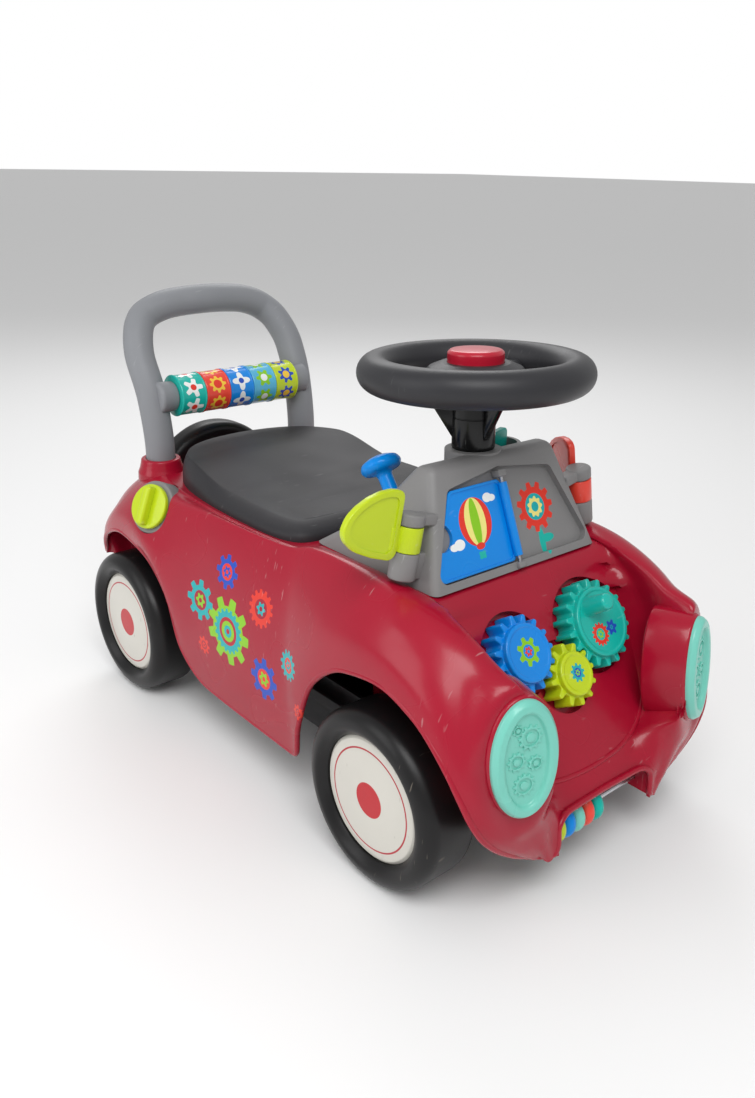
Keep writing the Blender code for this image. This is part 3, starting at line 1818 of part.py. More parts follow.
# Fuel dial on the right rear fender
def make_dial():
    bore = dial_stem_radius + clearance
    foot = -dial_base_depth
    turned(
        "dial_base",
        [
            (bore, dial_base_height),
            (dial_base_radius - 0.0015, dial_base_height),
            (dial_base_radius, dial_base_height - 0.0015),
            (dial_base_radius, foot),
            (bore, foot),
        ],
        grey,
        steps=18,
        parent=dial_frame,
    )
    low = dial_base_height + clearance
    top = low + dial_height
    head = foot - clearance
    dial = turned(
        "fuel_dial",
        [
            (0.0, top),
            (dial_radius - 0.002, top),
            (dial_radius, top - 0.002),
            (dial_radius, low),
            (dial_stem_radius, low),
            (dial_stem_radius, head),
            (dial_stem_radius + 0.0016, head),
            (dial_stem_radius + 0.0016, head - dial_head_height),
            (0.0, head - dial_head_height),
        ],
        lime,
        steps=18,
        closed=False,
        parent=dial_frame,
    )
    grip = tool(
        "dial_grip",
        lambda bm: put_box(
            bm,
            (2 * dial_radius - 0.006, dial_grip_width, dial_grip_height + 0.002),
            (0, 0, top + dial_grip_height / 2 - 0.001),
        ),
        parent=dial_frame,
    )
    boolean(dial, "UNION", grip)


make_dial()


# Seat: a moulded lid over the storage bin, hinged at its rear edge
seat_half_outline = [
    (0.0, seat_front_y),
    (0.060, seat_front_y),
    (0.085, seat_front_y + 0.0010),
    (0.100, seat_front_y + 0.0030),
    (0.110, seat_front_y + 0.0080),
    (0.1165, seat_front_y + 0.0180),
    (0.1205, seat_front_y + 0.0340),
    (0.1225, 0.022),
    (0.1225, 0.056),
    (0.1215, 0.090),
    (0.1190, 0.124),
    (0.1140, 0.157),
    (0.1060, 0.186),
    (0.0940, 0.208),
    (0.0760, 0.226),
    (0.0530, seat_rear_y - 0.0075),
    (0.0270, seat_rear_y - 0.0015),
    (0.0, seat_rear_y),
]


def seat_top(y):
    """Height of the seat's upper edge, which rises toward the rear."""
    share = (y - seat_rise_start_y) / (seat_rise_end_y - seat_rise_start_y)
    share = min(1.0, max(0.0, share))
    smooth = share * share * (3 - 2 * share)
    return deck_z + clearance + seat_height + seat_rise * smooth


def seat_slope(y):
    """How far the sides lean in: wide along the thighs, steep at the rear."""
    share = (y - seat_rise_start_y) / (seat_rise_end_y - seat_rise_start_y)
    share = min(1.0, max(0.0, share))
    return seat_side_slope * (1 - 0.65 * share)


def seat_loop(bm, lean, wall, level):
    """The seat's outline once round: lean is the share of the side's slope, level that of its height."""
    count = len(seat_half_outline)
    foot = deck_z + clearance
    right = []
    for i, (x, y) in enumerate(seat_half_outline):
        before = Vector(seat_half_outline[max(i - 1, 0)])
        after = Vector(seat_half_outline[min(i + 1, count - 1)])
        run = (after - before).normalized()
        out = Vector((run.y, -run.x))
        if i in (0, count - 1):
            out = Vector((0.0, -1.0 if i == 0 else 1.0))
        inset = lean * seat_slope(y) + wall
        z = foot + (seat_top(y) - foot) * level - wall * (1.0 if level == 1.0 else 0.0)
        right.append((x - out.x * inset, y - out.y * inset, z))
    left = [(-x, y, z) for x, y, z in reversed(right[1:-1])]
    return [bm.verts.new(place) for place in right + left]


def close_top(bm, loop, rise):
    """Cross rows between the two sides of a loop, crowned in the middle."""
    half = len(loop) // 2
    shares = (0.5, 0.0, -0.5)
    rows = []
    for i in range(1, half):
        right, left = loop[i], loop[-i]
        lift = min(1.0, 4.0 * i / half, 4.0 * (half - i) / half)
        middle = []
        for share in shares:
            height = right.co.z + rise * lift * (1 - share * share)
            middle.append(bm.verts.new((right.co.x * share, right.co.y, height)))
        rows.append([right] + middle + [left])
    for a, b in zip(rows, rows[1:]):
        for k in range(len(a) - 1):
            bm.faces.new((a[k], b[k], b[k + 1], a[k + 1]))
    for tip, row in ((loop[0], rows[0]), (loop[half], rows[-1])):
        for k in range(len(row) - 1):
            bm.faces.new((tip, row[k], row[k + 1]))


def put_seat(bm):
    rings = ((0.0, 0.0), (0.03, 0.42), (0.36, 0.82), (1.0, 1.0))
    outer = [seat_loop(bm, lean, 0.0, level) for lean, level in rings]
    inner = [seat_loop(bm, lean, seat_wall, level) for lean, level in rings]
    join_loops(bm, outer, cap_start=False, cap_end=False)
    join_loops(bm, list(reversed(inner)), cap_start=False, cap_end=False)
    join_loops(bm, [inner[0], outer[0]], cap_start=False, cap_end=False)
    close_top(bm, outer[-1], seat_crown)
    close_top(bm, inner[-1], seat_crown)


def make_seat():
    seat = shape("seat", put_seat, charcoal)
    for vertex in seat.data.vertices:
        vertex.co -= Vector((0, seat_pin_y, seat_pin_z))
    seat.location = (0, seat_pin_y, seat_pin_z)
    inner = seat_lug_x + seat_lug_width / 2 + clearance
    radius = seat_pin_z - deck_z - clearance

    def put_ears(bm):
        reach = seat_pin_behind + seat_wall
        for side in (-1, 1):
            x = side * (inner + seat_lug_width / 2)
            centre = (x, seat_pin_y - reach / 2, seat_pin_z)
            put_box(bm, (seat_lug_width - 0.0002, reach, 2 * radius - 0.0002), centre)
            put_cylinder(bm, radius, seat_lug_width, (x, seat_pin_y, seat_pin_z), "X", segments=14)

    boolean(seat, "UNION", tool("seat_ears", put_ears), overlapping=True)
    half_length = inner + seat_lug_width - 0.0015

    def put_bore(bm):
        put_cylinder(
            bm, seat_pin_radius + clearance, 2 * half_length, (0, seat_pin_y, seat_pin_z), "X", segments=12
        )

    boolean(seat, "DIFFERENCE", tool("seat_bore", put_bore))
    shape(
        "seat_pin",
        lambda bm: put_cylinder(
            bm, seat_pin_radius, 2 * (half_length - clearance), (0, seat_pin_y, seat_pin_z), "X", segments=12
        ),
        steel,
    )


make_seat()


# Spare tyre on the rear wall
def make_spare():
    frame = empty("spare_frame", (0, rear_wall_y, spare_z), (math.radians(-90), 0, 0))
    low = spare_front_y - rear_wall_y
    high = low + spare_width
    shoulder = spare_shoulder
    edge = spare_radius - shoulder
    lip = spare_bore_radius + spare_lip
    profile = (
        [(spare_bore_radius, low)]
        + arc((edge, low + shoulder), shoulder, -90, 0, 3)
        + arc((edge, high - shoulder), shoulder, 0, 90, 3)
        + [(lip, high), (lip, high - spare_lip_depth), (spare_bore_radius, high - spare_lip_depth)]
    )
    turned("spare_tyre", profile, black, steps=24, parent=frame)
    sleeve = spare_bore_radius - clearance
    cap = high - spare_lip_depth + clearance
    hub = [
        (0.0, -spare_plug_length),
        (spare_plug_radius, -spare_plug_length),
        (spare_plug_radius, clearance),
        (spare_flange_radius, clearance),
        (spare_flange_radius, low - clearance),
        (sleeve, low - clearance),
        (sleeve, cap),
        (lip - clearance, cap),
        (lip - clearance, high - 0.0015),
        (lip - 0.002, high),
        (spare_hub_radius * 0.5, high),
        (0.0, high),
    ]
    turned("spare_hub", hub, cream, steps=24, closed=False, parent=frame)


make_spare()
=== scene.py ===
"""The looks of a toddler ride-on car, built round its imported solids. Metres, +Z up, the front faces -Y."""
import math

import bmesh
import bpy
from mathutils import Euler, Matrix, Vector


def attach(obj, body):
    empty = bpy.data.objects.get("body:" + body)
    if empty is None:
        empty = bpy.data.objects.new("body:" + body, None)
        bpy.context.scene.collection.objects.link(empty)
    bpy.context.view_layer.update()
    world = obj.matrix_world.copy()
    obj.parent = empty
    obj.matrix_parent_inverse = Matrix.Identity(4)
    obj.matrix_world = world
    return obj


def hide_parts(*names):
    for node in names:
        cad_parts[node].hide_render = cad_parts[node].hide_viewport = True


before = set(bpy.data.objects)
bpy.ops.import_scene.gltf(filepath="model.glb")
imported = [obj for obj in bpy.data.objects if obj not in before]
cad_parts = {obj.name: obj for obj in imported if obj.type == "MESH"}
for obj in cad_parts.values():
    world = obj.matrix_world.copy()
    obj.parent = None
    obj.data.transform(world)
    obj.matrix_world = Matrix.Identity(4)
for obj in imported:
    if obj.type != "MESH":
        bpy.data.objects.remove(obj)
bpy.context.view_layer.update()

scene = bpy.context.scene
scene.view_settings.view_transform = "Standard"

# Camera: low on the car's right, ahead of the front wheel, looking back over the bonnet
camera_place = Vector((-0.59924, -0.70564, 0.56696))
camera_right = Vector((0.7621, -0.6472, 0.0194))
camera_up = Vector((0.2253, 0.2932, 0.9291))
camera_focal_px = 976.04
photo_height_px = 1098
film_height = 36.0

# Sizes that the solids have too
wheel_radius = 0.079
tyre_width = 0.057
tyre_shoulder = 0.0135
tyre_inner_x = 0.114
hubcap_face = 0.051
web_outer = 0.040
web_inner = 0.036
hub_radius = 0.009
front_axle_y = -0.1975
rear_axle_y = 0.2265
gap = 0.0003
body_wall = 0.0035
deck_z = 0.240
dash_deck_z = 0.244
panel_top_y = -0.2005
panel_angle = math.radians(57.8)
hem_z = 0.046
rear_hem_z = 0.130
rear_wall_y = 0.2795
cowl_lean = math.radians(22.6)
cowl_top_z = 0.337
steering_place = (0.0, -0.1355, cowl_top_z)
steering_tilt = math.radians(2.0)
ring_radius = 0.086
ring_tube_radius = 0.0153
ring_height = 0.066
spoke_angles = [math.radians(a) for a in (139.0, 19.0, -101.0)]
horn_radius = 0.0243
horn_top = 0.0825
roller_y = 0.2515
roller_z = 0.321
roller_radius = 0.023
roller_length = 0.0305
roller_pitch = 0.031
handle_radius = 0.01625
handle_foot_x = 0.097
lamp_half_width = 0.029
lamp_half_height = 0.0485
key_x, key_y = 0.046, -0.122
spare_z = 0.187
bead_bar_y, bead_bar_z = -0.2955, 0.0575
pin_bore = 0.0028
seat_pin_bore = 0.0021
door_pin_bore = 0.0018
quarter_turn = math.radians(90)


def axes_at(origin, turn=(0.0, 0.0, 0.0)):
    return Matrix.LocRotScale(Vector(origin), Euler(turn), None)


def axes_from(origin, x, y, z):
    return Matrix.Translation(origin) @ Matrix((x, y, z)).transposed().to_4x4()


def shift(x, y, z=0.0):
    return Matrix.Translation((x, y, z))


def across(place):
    """A frame whose Z axis runs along the car's X."""
    return axes_at(place, (0, quarter_turn, 0))


def about(axis):
    """A quarter turn about one axis."""
    return Matrix.Rotation(quarter_turn, 4, axis)


panel_frame = axes_at((0, panel_top_y, dash_deck_z), (panel_angle, 0, 0))
windscreen_frame = axes_at((0, panel_top_y, dash_deck_z), (quarter_turn - cowl_lean, 0, 0))
steering_frame = axes_at(steering_place, (-steering_tilt, 0, 0))
lever_frame = axes_at((-0.068, -0.122, 0.281), (math.radians(-36), 0, 0))
key_frame = axes_at((key_x, key_y, 0.316), (0, 0, math.radians(20)))
dial_frame = axes_at((-0.1445, 0.1790, 0.2240), (0, math.radians(25 - 90), math.radians(16)))
spare_frame = axes_at((0, rear_wall_y, spare_z), (-quarter_turn, 0, 0))
right_flank = axes_from((0, 0, 0), Vector((0, -1, 0)), Vector((0, 0, 1)), Vector((-1, 0, 0)))
left_flank = axes_from((0, 0, 0), Vector((0, 1, 0)), Vector((0, 0, 1)), Vector((1, 0, 0)))


def headlight_frame(side):
    turn = Matrix.Rotation(side * math.radians(17.0), 4, "Z") @ Matrix.Rotation(math.radians(84.4), 4, "X")
    return shift(side * 0.111, -0.3075, 0.157) @ turn


def mirror_frame(side):
    foot = Vector((side * 0.1135, -0.1720, 0.2550))
    up = (Vector((side * 0.1030, -0.1715, 0.3090)) - foot).normalized()
    ahead = up.cross(Vector((1, 0, 0))).normalized()
    return axes_from(foot, ahead.cross(up), ahead, up)


def wheel_frame(side, axle_y):
    return shift(side * tyre_inner_x, axle_y, wheel_radius) @ Matrix.Rotation(side * quarter_turn, 4, "Y")


# ---------------------------------------------------------------- finishes
def put(tree, kind, inputs=None, **settings):
    """A shader node with its settings; an input is a value or another node's output."""
    node = tree.nodes.new(kind)
    for name, value in settings.items():
        setattr(node, name, value)
    for name, value in (inputs or {}).items():
        if isinstance(value, bpy.types.NodeSocket):
            tree.links.new(value, node.inputs[name])
        else:
            node.inputs[name].default_value = value
    return node


def maths(tree, operation, a, b=0.0, clamp=False):
    return put(tree, "ShaderNodeMath", {0: a, 1: b}, operation=operation, use_clamp=clamp).outputs[0]


def noise(tree, where, scale, detail):
    return put(tree, "ShaderNodeTexNoise", {"Vector": where, "Scale": scale, "Detail": detail}).outputs[0]


def mixed_colour(tree, share, below, above):
    return put(tree, "ShaderNodeMix", {0: share, 6: below, 7: above}, data_type="RGBA").outputs[2]


def new_group(name, inputs, outputs):
    group = bpy.data.node_groups.new(name, "ShaderNodeTree")
    for label, kind in inputs:
        group.interface.new_socket(label, in_out="INPUT", socket_type="NodeSocket" + kind)
    for label, kind in outputs:
        group.interface.new_socket(label, in_out="OUTPUT", socket_type="NodeSocket" + kind)
    start = group.nodes.new("NodeGroupInput").outputs
    end = group.nodes.new("NodeGroupOutput").inputs
    return group, start, end


def make_moulded_skin():
    """Moulded plastic: cloudy colour, fine grain, uneven gloss and a few pale scuffs."""
    group, given, out = new_group(
        "moulded_skin",
        [
            ("Vector", "Vector"),
            ("Colour", "Color"),
            ("Scuff Colour", "Color"),
            ("Scuffs", "Float"),
            ("Clouding", "Float"),
            ("Roughness", "Float"),
            ("Grain Size", "Float"),
            ("Grain Depth", "Float"),
        ],
        [("Colour", "Color"), ("Roughness", "Float"), ("Normal", "Vector")],
    )
    where = given["Vector"]
    clouds = noise(group, where, 22.0, 3.0)
    shade = maths(group, "MULTIPLY", maths(group, "SUBTRACT", clouds, 0.5), given["Clouding"])
    value = maths(group, "ADD", shade, 1.0)
    clouded = put(
        group, "ShaderNodeHueSaturation", {"Value": value, "Color": given["Colour"]}
    ).outputs["Color"]
    stretched = put(
        group,
        "ShaderNodeMapping",
        {"Vector": where, "Rotation": (0.4, 0.7, 0.2), "Scale": (60.0, 420.0, 90.0)},
    ).outputs[0]
    scratches = noise(group, stretched, 1.0, 1.0)
    patches = noise(group, where, 13.0, 1.0)
    mark = maths(group, "MULTIPLY", maths(group, "SUBTRACT", scratches, 0.70), 14.0, clamp=True)
    worn = maths(group, "MULTIPLY", maths(group, "SUBTRACT", patches, 0.52), 9.0, clamp=True)
    mask = maths(group, "MULTIPLY", maths(group, "MULTIPLY", mark, worn), given["Scuffs"], clamp=True)
    mixed = mixed_colour(group, mask, clouded, given["Scuff Colour"])
    uneven = maths(group, "MULTIPLY", maths(group, "SUBTRACT", patches, 0.5), 0.22)
    rough = maths(
        group, "ADD", maths(group, "ADD", given["Roughness"], uneven), maths(group, "MULTIPLY", mask, 0.3)
    )
    grain = noise(group, where, given["Grain Size"], 2.0)
    bump = put(
        group,
        "ShaderNodeBump",
        {"Strength": 1.0, "Distance": given["Grain Depth"], "Height": grain},
    ).outputs[0]
    group.links.new(mixed, out["Colour"])
    group.links.new(rough, out["Roughness"])
    group.links.new(bump, out["Normal"])
    return group


def make_print_shape():
    """The mask of one printed shape on a plane: a disc, or with lobes a flower, star or cog."""
    group, given, out = new_group(
        "print_shape",
        [
            ("Vector", "Vector"),
            ("Centre", "Vector"),
            ("Stretch", "Vector"),
            ("Radius", "Float"),
            ("Lobes", "Float"),
            ("Lobe Depth", "Float"),
            ("Sharpness", "Float"),
            ("Turn", "Float"),
        ],
        [("Mask", "Float")],
    )
    offset = put(
        group, "ShaderNodeVectorMath", {0: given["Vector"], 1: given["Centre"]}, operation="SUBTRACT"
    )
    scaled = put(
        group, "ShaderNodeVectorMath", {0: offset.outputs[0], 1: given["Stretch"]}, operation="MULTIPLY"
    )
    parts = put(group, "ShaderNodeSeparateXYZ", {0: scaled.outputs[0]}).outputs
    flat = put(group, "ShaderNodeCombineXYZ", {"X": parts["X"], "Y": parts["Y"]}).outputs[0]
    away = put(group, "ShaderNodeVectorMath", {0: flat}, operation="LENGTH").outputs["Value"]
    angle = maths(group, "ARCTAN2", parts["Y"], parts["X"])
    phase = maths(group, "ADD", maths(group, "MULTIPLY", angle, given["Lobes"]), given["Turn"])
    wave = maths(group, "COSINE", phase)
    steep = maths(group, "MULTIPLY", wave, given["Sharpness"])
    held = maths(group, "MAXIMUM", maths(group, "MINIMUM", steep, 1.0), -1.0)
    swell = maths(group, "ADD", maths(group, "MULTIPLY", held, given["Lobe Depth"]), 1.0)
    edge = maths(group, "MULTIPLY", swell, given["Radius"])
    inside = maths(group, "DIVIDE", maths(group, "SUBTRACT", edge, away), 0.0003)
    group.links.new(maths(group, "ADD", inside, 0.5, clamp=True), out["Mask"])
    return group


def make_roll_out():
    """A roller's surface laid flat: along the roller, then round it in equal panels."""
    group, given, out = new_group(
        "roll_out",
        [("Vector", "Vector"), ("Centre", "Vector"), ("Radius", "Float"), ("Panels", "Float")],
        [("Vector", "Vector"), ("Panel", "Float")],
    )
    offset = put(
        group, "ShaderNodeVectorMath", {0: given["Vector"], 1: given["Centre"]}, operation="SUBTRACT"
    )
    parts = put(group, "ShaderNodeSeparateXYZ", {0: offset.outputs[0]}).outputs
    angle = maths(group, "ADD", maths(group, "ARCTAN2", parts["Z"], parts["Y"]), math.pi)
    turns = maths(group, "MULTIPLY", maths(group, "DIVIDE", angle, 2 * math.pi), given["Panels"])
    panel = maths(group, "FLOOR", turns)
    share = maths(group, "SUBTRACT", maths(group, "SUBTRACT", turns, panel), 0.5)
    length = maths(group, "DIVIDE", maths(group, "MULTIPLY", given["Radius"], 2 * math.pi), given["Panels"])
    along = maths(group, "MULTIPLY", share, length)
    laid = put(group, "ShaderNodeCombineXYZ", {"X": parts["X"], "Y": along}).outputs[0]
    group.links.new(laid, out["Vector"])
    group.links.new(panel, out["Panel"])
    return group


moulded_skin = make_moulded_skin()
print_shape = make_print_shape()
roll_out = make_roll_out()


def group_node(tree, group, inputs):
    return put(tree, "ShaderNodeGroup", inputs, node_tree=group)


def shown_colour(red, green, blue):
    """A colour as a screen shows it, from 0 to 255, as linear light."""
    def linear(v):
        v = v / 255
        return v / 12.92 if v <= 0.04045 else ((v + 0.055) / 1.055) ** 2.4

    return (linear(red), linear(green), linear(blue), 1.0)


crimson = shown_colour(160, 14, 42)
grey = shown_colour(128, 127, 127)
cream = shown_colour(208, 205, 196)
lime = shown_colour(188, 208, 26)
blue = shown_colour(0, 132, 220)
teal = shown_colour(16, 176, 162)
mint = shown_colour(116, 198, 182)
sky = shown_colour(84, 176, 212)
coral = shown_colour(228, 66, 50)
white = shown_colour(236, 238, 236)
print_red = shown_colour(176, 18, 40)
print_teal = shown_colour(20, 168, 172)
print_blue = shown_colour(30, 74, 182)
print_lime = shown_colour(134, 196, 26)
print_coral = shown_colour(222, 52, 36)


class Print:
    """One printed shape: where it lies on its plane, its size, its lobes and its colour."""

    def __init__(self, x, y, radius, colour, lobes=0, depth=0.0, sharp=1.0, turn=0.0, stretch=(1, 1)):
        self.centre = (x, y, 0.0)
        self.radius = radius
        self.colour = colour
        self.lobes = float(lobes)
        self.depth = depth if lobes else 0.0
        self.sharp = sharp
        self.turn = turn
        self.stretch = (stretch[0], stretch[1], 1.0)


def lay_prints(tree, colour, where, prints, allowed=None):
    for item in prints:
        mask = group_node(
            tree,
            print_shape,
            {
                "Vector": where,
                "Centre": item.centre,
                "Stretch": item.stretch,
                "Radius": item.radius,
                "Lobes": item.lobes,
                "Lobe Depth": item.depth,
                "Sharpness": item.sharp,
                "Turn": item.turn,
            },
        ).outputs["Mask"]
        if allowed is not None:
            mask = maths(tree, "MULTIPLY", mask, allowed)
        colour = mixed_colour(tree, mask, colour, item.colour)
    return colour


def plastic(name, colour, roughness, grain=(900.0, 0.00003), scuffs=0.25, clouding=0.12, coat=0.0,
            scuff_colour=white, sheets=(), specular=0.3):
    """A moulded plastic of one colour, or of what a function of (tree, where) paints.

    Each sheet is (frame, lowest height, prints) on a plane of its own.
    """
    made = bpy.data.materials.new(name)
    made.use_nodes = True
    tree = made.node_tree
    shader = tree.nodes["Principled BSDF"]
    where = put(tree, "ShaderNodeTexCoord").outputs["Object"]
    if callable(colour):
        colour = colour(tree, where)
    for plane, lowest, prints in sheets:
        laid = put(
            tree,
            "ShaderNodeMapping",
            {"Vector": where, "Location": plane.to_translation(), "Rotation": plane.to_euler()},
            vector_type="TEXTURE",
        ).outputs[0]
        height = put(tree, "ShaderNodeSeparateXYZ", {0: laid}).outputs["Z"]
        allowed = maths(tree, "GREATER_THAN", height, lowest)
        colour = lay_prints(tree, colour, laid, prints, allowed)
    skin = group_node(
        tree,
        moulded_skin,
        {
            "Vector": where,
            "Colour": colour,
            "Scuff Colour": scuff_colour,
            "Scuffs": scuffs,
            "Clouding": clouding,
            "Roughness": roughness,
            "Grain Size": grain[0],
            "Grain Depth": grain[1],
        },
    ).outputs
    tree.links.new(skin["Colour"], shader.inputs["Base Color"])
    tree.links.new(skin["Roughness"], shader.inputs["Roughness"])
    tree.links.new(skin["Normal"], shader.inputs["Normal"])
    shader.inputs["Coat Weight"].default_value = coat
    shader.inputs["Coat Roughness"].default_value = 0.12
    shader.inputs["Specular IOR Level"].default_value = specular
    return made


def brushed_metal(name, colour, roughness):
    made = bpy.data.materials.new(name)
    made.use_nodes = True
    tree = made.node_tree
    shader = tree.nodes["Principled BSDF"]
    where = put(tree, "ShaderNodeTexCoord").outputs["Object"]
    lines = put(
        tree, "ShaderNodeMapping", {"Vector": where, "Scale": (30.0, 900.0, 900.0)}
    ).outputs[0]
    streaks = noise(tree, lines, 1.0, 2.0)
    shade = put(
        tree, "ShaderNodeHueSaturation", {"Value": maths(tree, "ADD", streaks, 0.45), "Color": colour}
    ).outputs["Color"]
    rough = maths(tree, "ADD", maths(tree, "MULTIPLY", streaks, 0.2), roughness)
    tree.links.new(shade, shader.inputs["Base Color"])
    tree.links.new(rough, shader.inputs["Roughness"])
    shader.inputs["Metallic"].default_value = 1.0
    return made


def flower(x, y, radius, outer, inner, middle, lobes=8, depth=0.16, sharp=3.0, turn=0.0):
    """A lobed ring with three smaller ones inside it."""
    return [
        Print(x, y, radius, outer, lobes, depth, sharp, turn),
        Print(x, y, radius * 0.56, inner),
        Print(x, y, radius * 0.34, middle, 6, 0.22, 1.0),
        Print(x, y, radius * 0.14, inner),
    ]


def grown(prints, middle, factor):
    """The same shapes, larger about the middle of the group."""
    for item in prints:
        x, y = (m + (c - m) * factor for c, m in zip(item.centre, middle))
        item.centre = (x, y, 0.0)
        item.radius *= factor
    return prints


side_prints = grown(
    flower(-0.026, 0.143, 0.0245, print_lime, print_teal, print_red, 9, 0.15, 3.0)
    + [Print(-0.026, 0.143, 0.0175, print_teal, 18, 0.07, 2.0), Print(-0.026, 0.143, 0.0118, print_red)]
    + [Print(-0.026, 0.143, 0.0086, print_lime), Print(-0.026, 0.143, 0.0050, print_teal)]
    + [Print(-0.026, 0.143, 0.0022, print_red)]
    + flower(-0.066, 0.156, 0.0150, print_teal, crimson, print_lime, 8, 0.16, 3.0)
    + flower(0.014, 0.176, 0.0135, print_coral, crimson, print_teal, 14, 0.10, 2.5)
    + flower(0.024, 0.122, 0.0150, print_blue, print_coral, print_lime, 8, 0.15, 3.0)
    + flower(-0.034, 0.190, 0.0120, print_blue, print_coral, print_blue, 8, 0.16, 3.0)
    + flower(0.057, 0.148, 0.0105, print_teal, print_coral, print_teal, 12, 0.12, 2.5)
    + flower(-0.062, 0.117, 0.0070, print_coral, crimson, print_coral, 8, 0.16, 3.0)
    + flower(0.074, 0.118, 0.0055, print_coral, crimson, print_coral, 8, 0.16, 3.0),
    (-0.010, 0.152),
    1.22,
)
pale_yellow = shown_colour(236, 226, 130)
warm_yellow = shown_colour(240, 196, 60)
door_prints = [
    Print(-0.038, 0.050, 0.0185, print_coral, stretch=(1.0, 0.90)),
    Print(-0.038, 0.050, 0.0183, pale_yellow, stretch=(1.55, 0.90)),
    Print(-0.038, 0.050, 0.0180, print_lime, stretch=(3.6, 0.90)),
    Print(-0.038, 0.0292, 0.0050, print_coral, stretch=(1.0, 1.7)),
    Print(-0.038, 0.0215, 0.0042, teal, 4, 0.14, 2.0, math.pi, (1.0, 1.25)),
    Print(-0.067, 0.034, 0.0050, white, stretch=(1.0, 1.6)),
    Print(-0.061, 0.035, 0.0060, white, stretch=(1.0, 1.3)),
    Print(-0.014, 0.066, 0.0044, white, stretch=(1.0, 1.5)),
    Print(-0.019, 0.067, 0.0052, white, stretch=(1.0, 1.3)),
]
windscreen_prints = [
    Print(0.040, 0.0165, 0.0095, teal, stretch=(2.6, 0.75)),
    Print(0.047, 0.0180, 0.0085, teal, stretch=(1.0, 2.2)),
    Print(0.040, 0.0475, 0.0200, print_coral, 11, 0.12, 2.5),
    Print(0.040, 0.0475, 0.0120, print_teal),
    Print(0.040, 0.0475, 0.0085, pale_yellow, 9, 0.12, 1.0),
    Print(0.040, 0.0475, 0.0045, print_teal),
]
blue_gear_prints = flower(-0.0405, -0.0655, 0.0105, print_lime, blue, print_coral, 7, 0.18, 2.0, 0.5)
teal_gear_prints = flower(0.0480, -0.0765, 0.0095, print_coral, teal, print_lime, 14, 0.10, 2.0) + flower(
    0.0640, -0.0745, 0.0058, print_blue, print_blue, print_teal, 6, 0.2, 1.5
)
lime_gear_prints = flower(0.0050, -0.0980, 0.0072, print_teal, print_blue, print_lime, 9, 0.14, 2.0)
cap_prints = [
    Print(0, 0, 0.0465, print_red),
    Print(0, 0, 0.0450, cream),
    Print(0, 0, 0.0157, shown_colour(186, 12, 28)),
]


def roller_print(colour, base, centre_x, kinds):
    """Six panels round a roller, each with the same small print in its middle."""

    def painted(tree, where):
        laid = group_node(
            tree,
            roll_out,
            {
                "Vector": where,
                "Centre": (centre_x, roller_y, roller_z),
                "Radius": roller_radius,
                "Panels": 6.0,
            },
        ).outputs["Vector"]
        return lay_prints(tree, base, laid, kinds)

    return plastic(f"print_{colour}", painted, 0.32, coat=0.5, clouding=0.08)


finish = {
    "body": plastic(
        "glossy_crimson", crimson, 0.26, (260.0, 0.00004), 0.16, 0.12, 0.14,
        sheets=[(right_flank, 0.10, side_prints), (left_flank, 0.10, side_prints)],
    ),
    "crimson": plastic("crimson_trim", shown_colour(180, 22, 46), 0.30, (700.0, 0.00005), 0.2, 0.1, 0.3),
    "cowl": plastic(
        "satin_grey", grey, 0.46, (1300.0, 0.00006), 0.12, 0.08,
        sheets=[(windscreen_frame, -0.0075, windscreen_prints)],
    ),
    "handle": plastic("grained_grey", shown_colour(132, 134, 138), 0.46, (1500.0, 0.00010), 0.06, 0.1),
    "seat": plastic("grained_charcoal", shown_colour(45, 44, 47), 0.50, (1500.0, 0.00016), 0.10, 0.14),
    "wheel": plastic("rubbery_charcoal", shown_colour(46, 46, 49), 0.42, (1400.0, 0.00008), 0.05, 0.1),
    "tyre": plastic(
        "satin_black", shown_colour(20, 19, 20), 0.36, (1100.0, 0.00007), 0.4, 0.2,
        scuff_colour=shown_colour(150, 140, 128),
    ),
    "gloss_black": plastic(
        "gloss_black", shown_colour(8, 8, 9), 0.20, (500.0, 0.00003), 0.05, 0.1, specular=0.35
    ),
    # Charcoal black for the chassis and storage bin; inside the wheel arches this black also stands in for
    # painted shade.
    "black_and_painted_shade": plastic("charcoal_and_painted_shade", shown_colour(30, 30, 32), 0.5, (800.0, 0.0001), 0.2, 0.1),
    "lime": plastic("lime_plastic", lime, 0.32, scuffs=0.15, coat=0.25, clouding=0.06),
    "blue": plastic("blue_plastic", blue, 0.30, scuffs=0.12, coat=0.1, clouding=0.06, specular=0.2),
    "teal": plastic("teal_plastic", teal, 0.30, scuffs=0.12, coat=0.1, clouding=0.06, specular=0.2),
    "coral": plastic("coral_plastic", coral, 0.30, scuffs=0.15, coat=0.3, clouding=0.06),
    "mint": plastic("mint_plastic", mint, 0.30, scuffs=0.12, coat=0.3, clouding=0.08),
    "door": plastic(
        "blue_door", blue, 0.30, coat=0.2, clouding=0.06, scuffs=0.1,
        sheets=[(windscreen_frame, -0.0034, door_prints)],
    ),
    "steel": brushed_metal("drawn_steel", shown_colour(196, 196, 200), 0.18),
}
for word, colour, roughness, coat, prints in (
    ("blue", blue, 0.28, 0.3, blue_gear_prints),
    ("teal", teal, 0.30, 0.3, teal_gear_prints),
    ("lime", lime, 0.32, 0.25, lime_gear_prints),
):
    finish[word + "_gear"] = plastic(
        word + "_gear", colour, roughness, coat=coat, clouding=0.06, scuffs=0.15,
        sheets=[(panel_frame, 0.0160, prints)],
    )


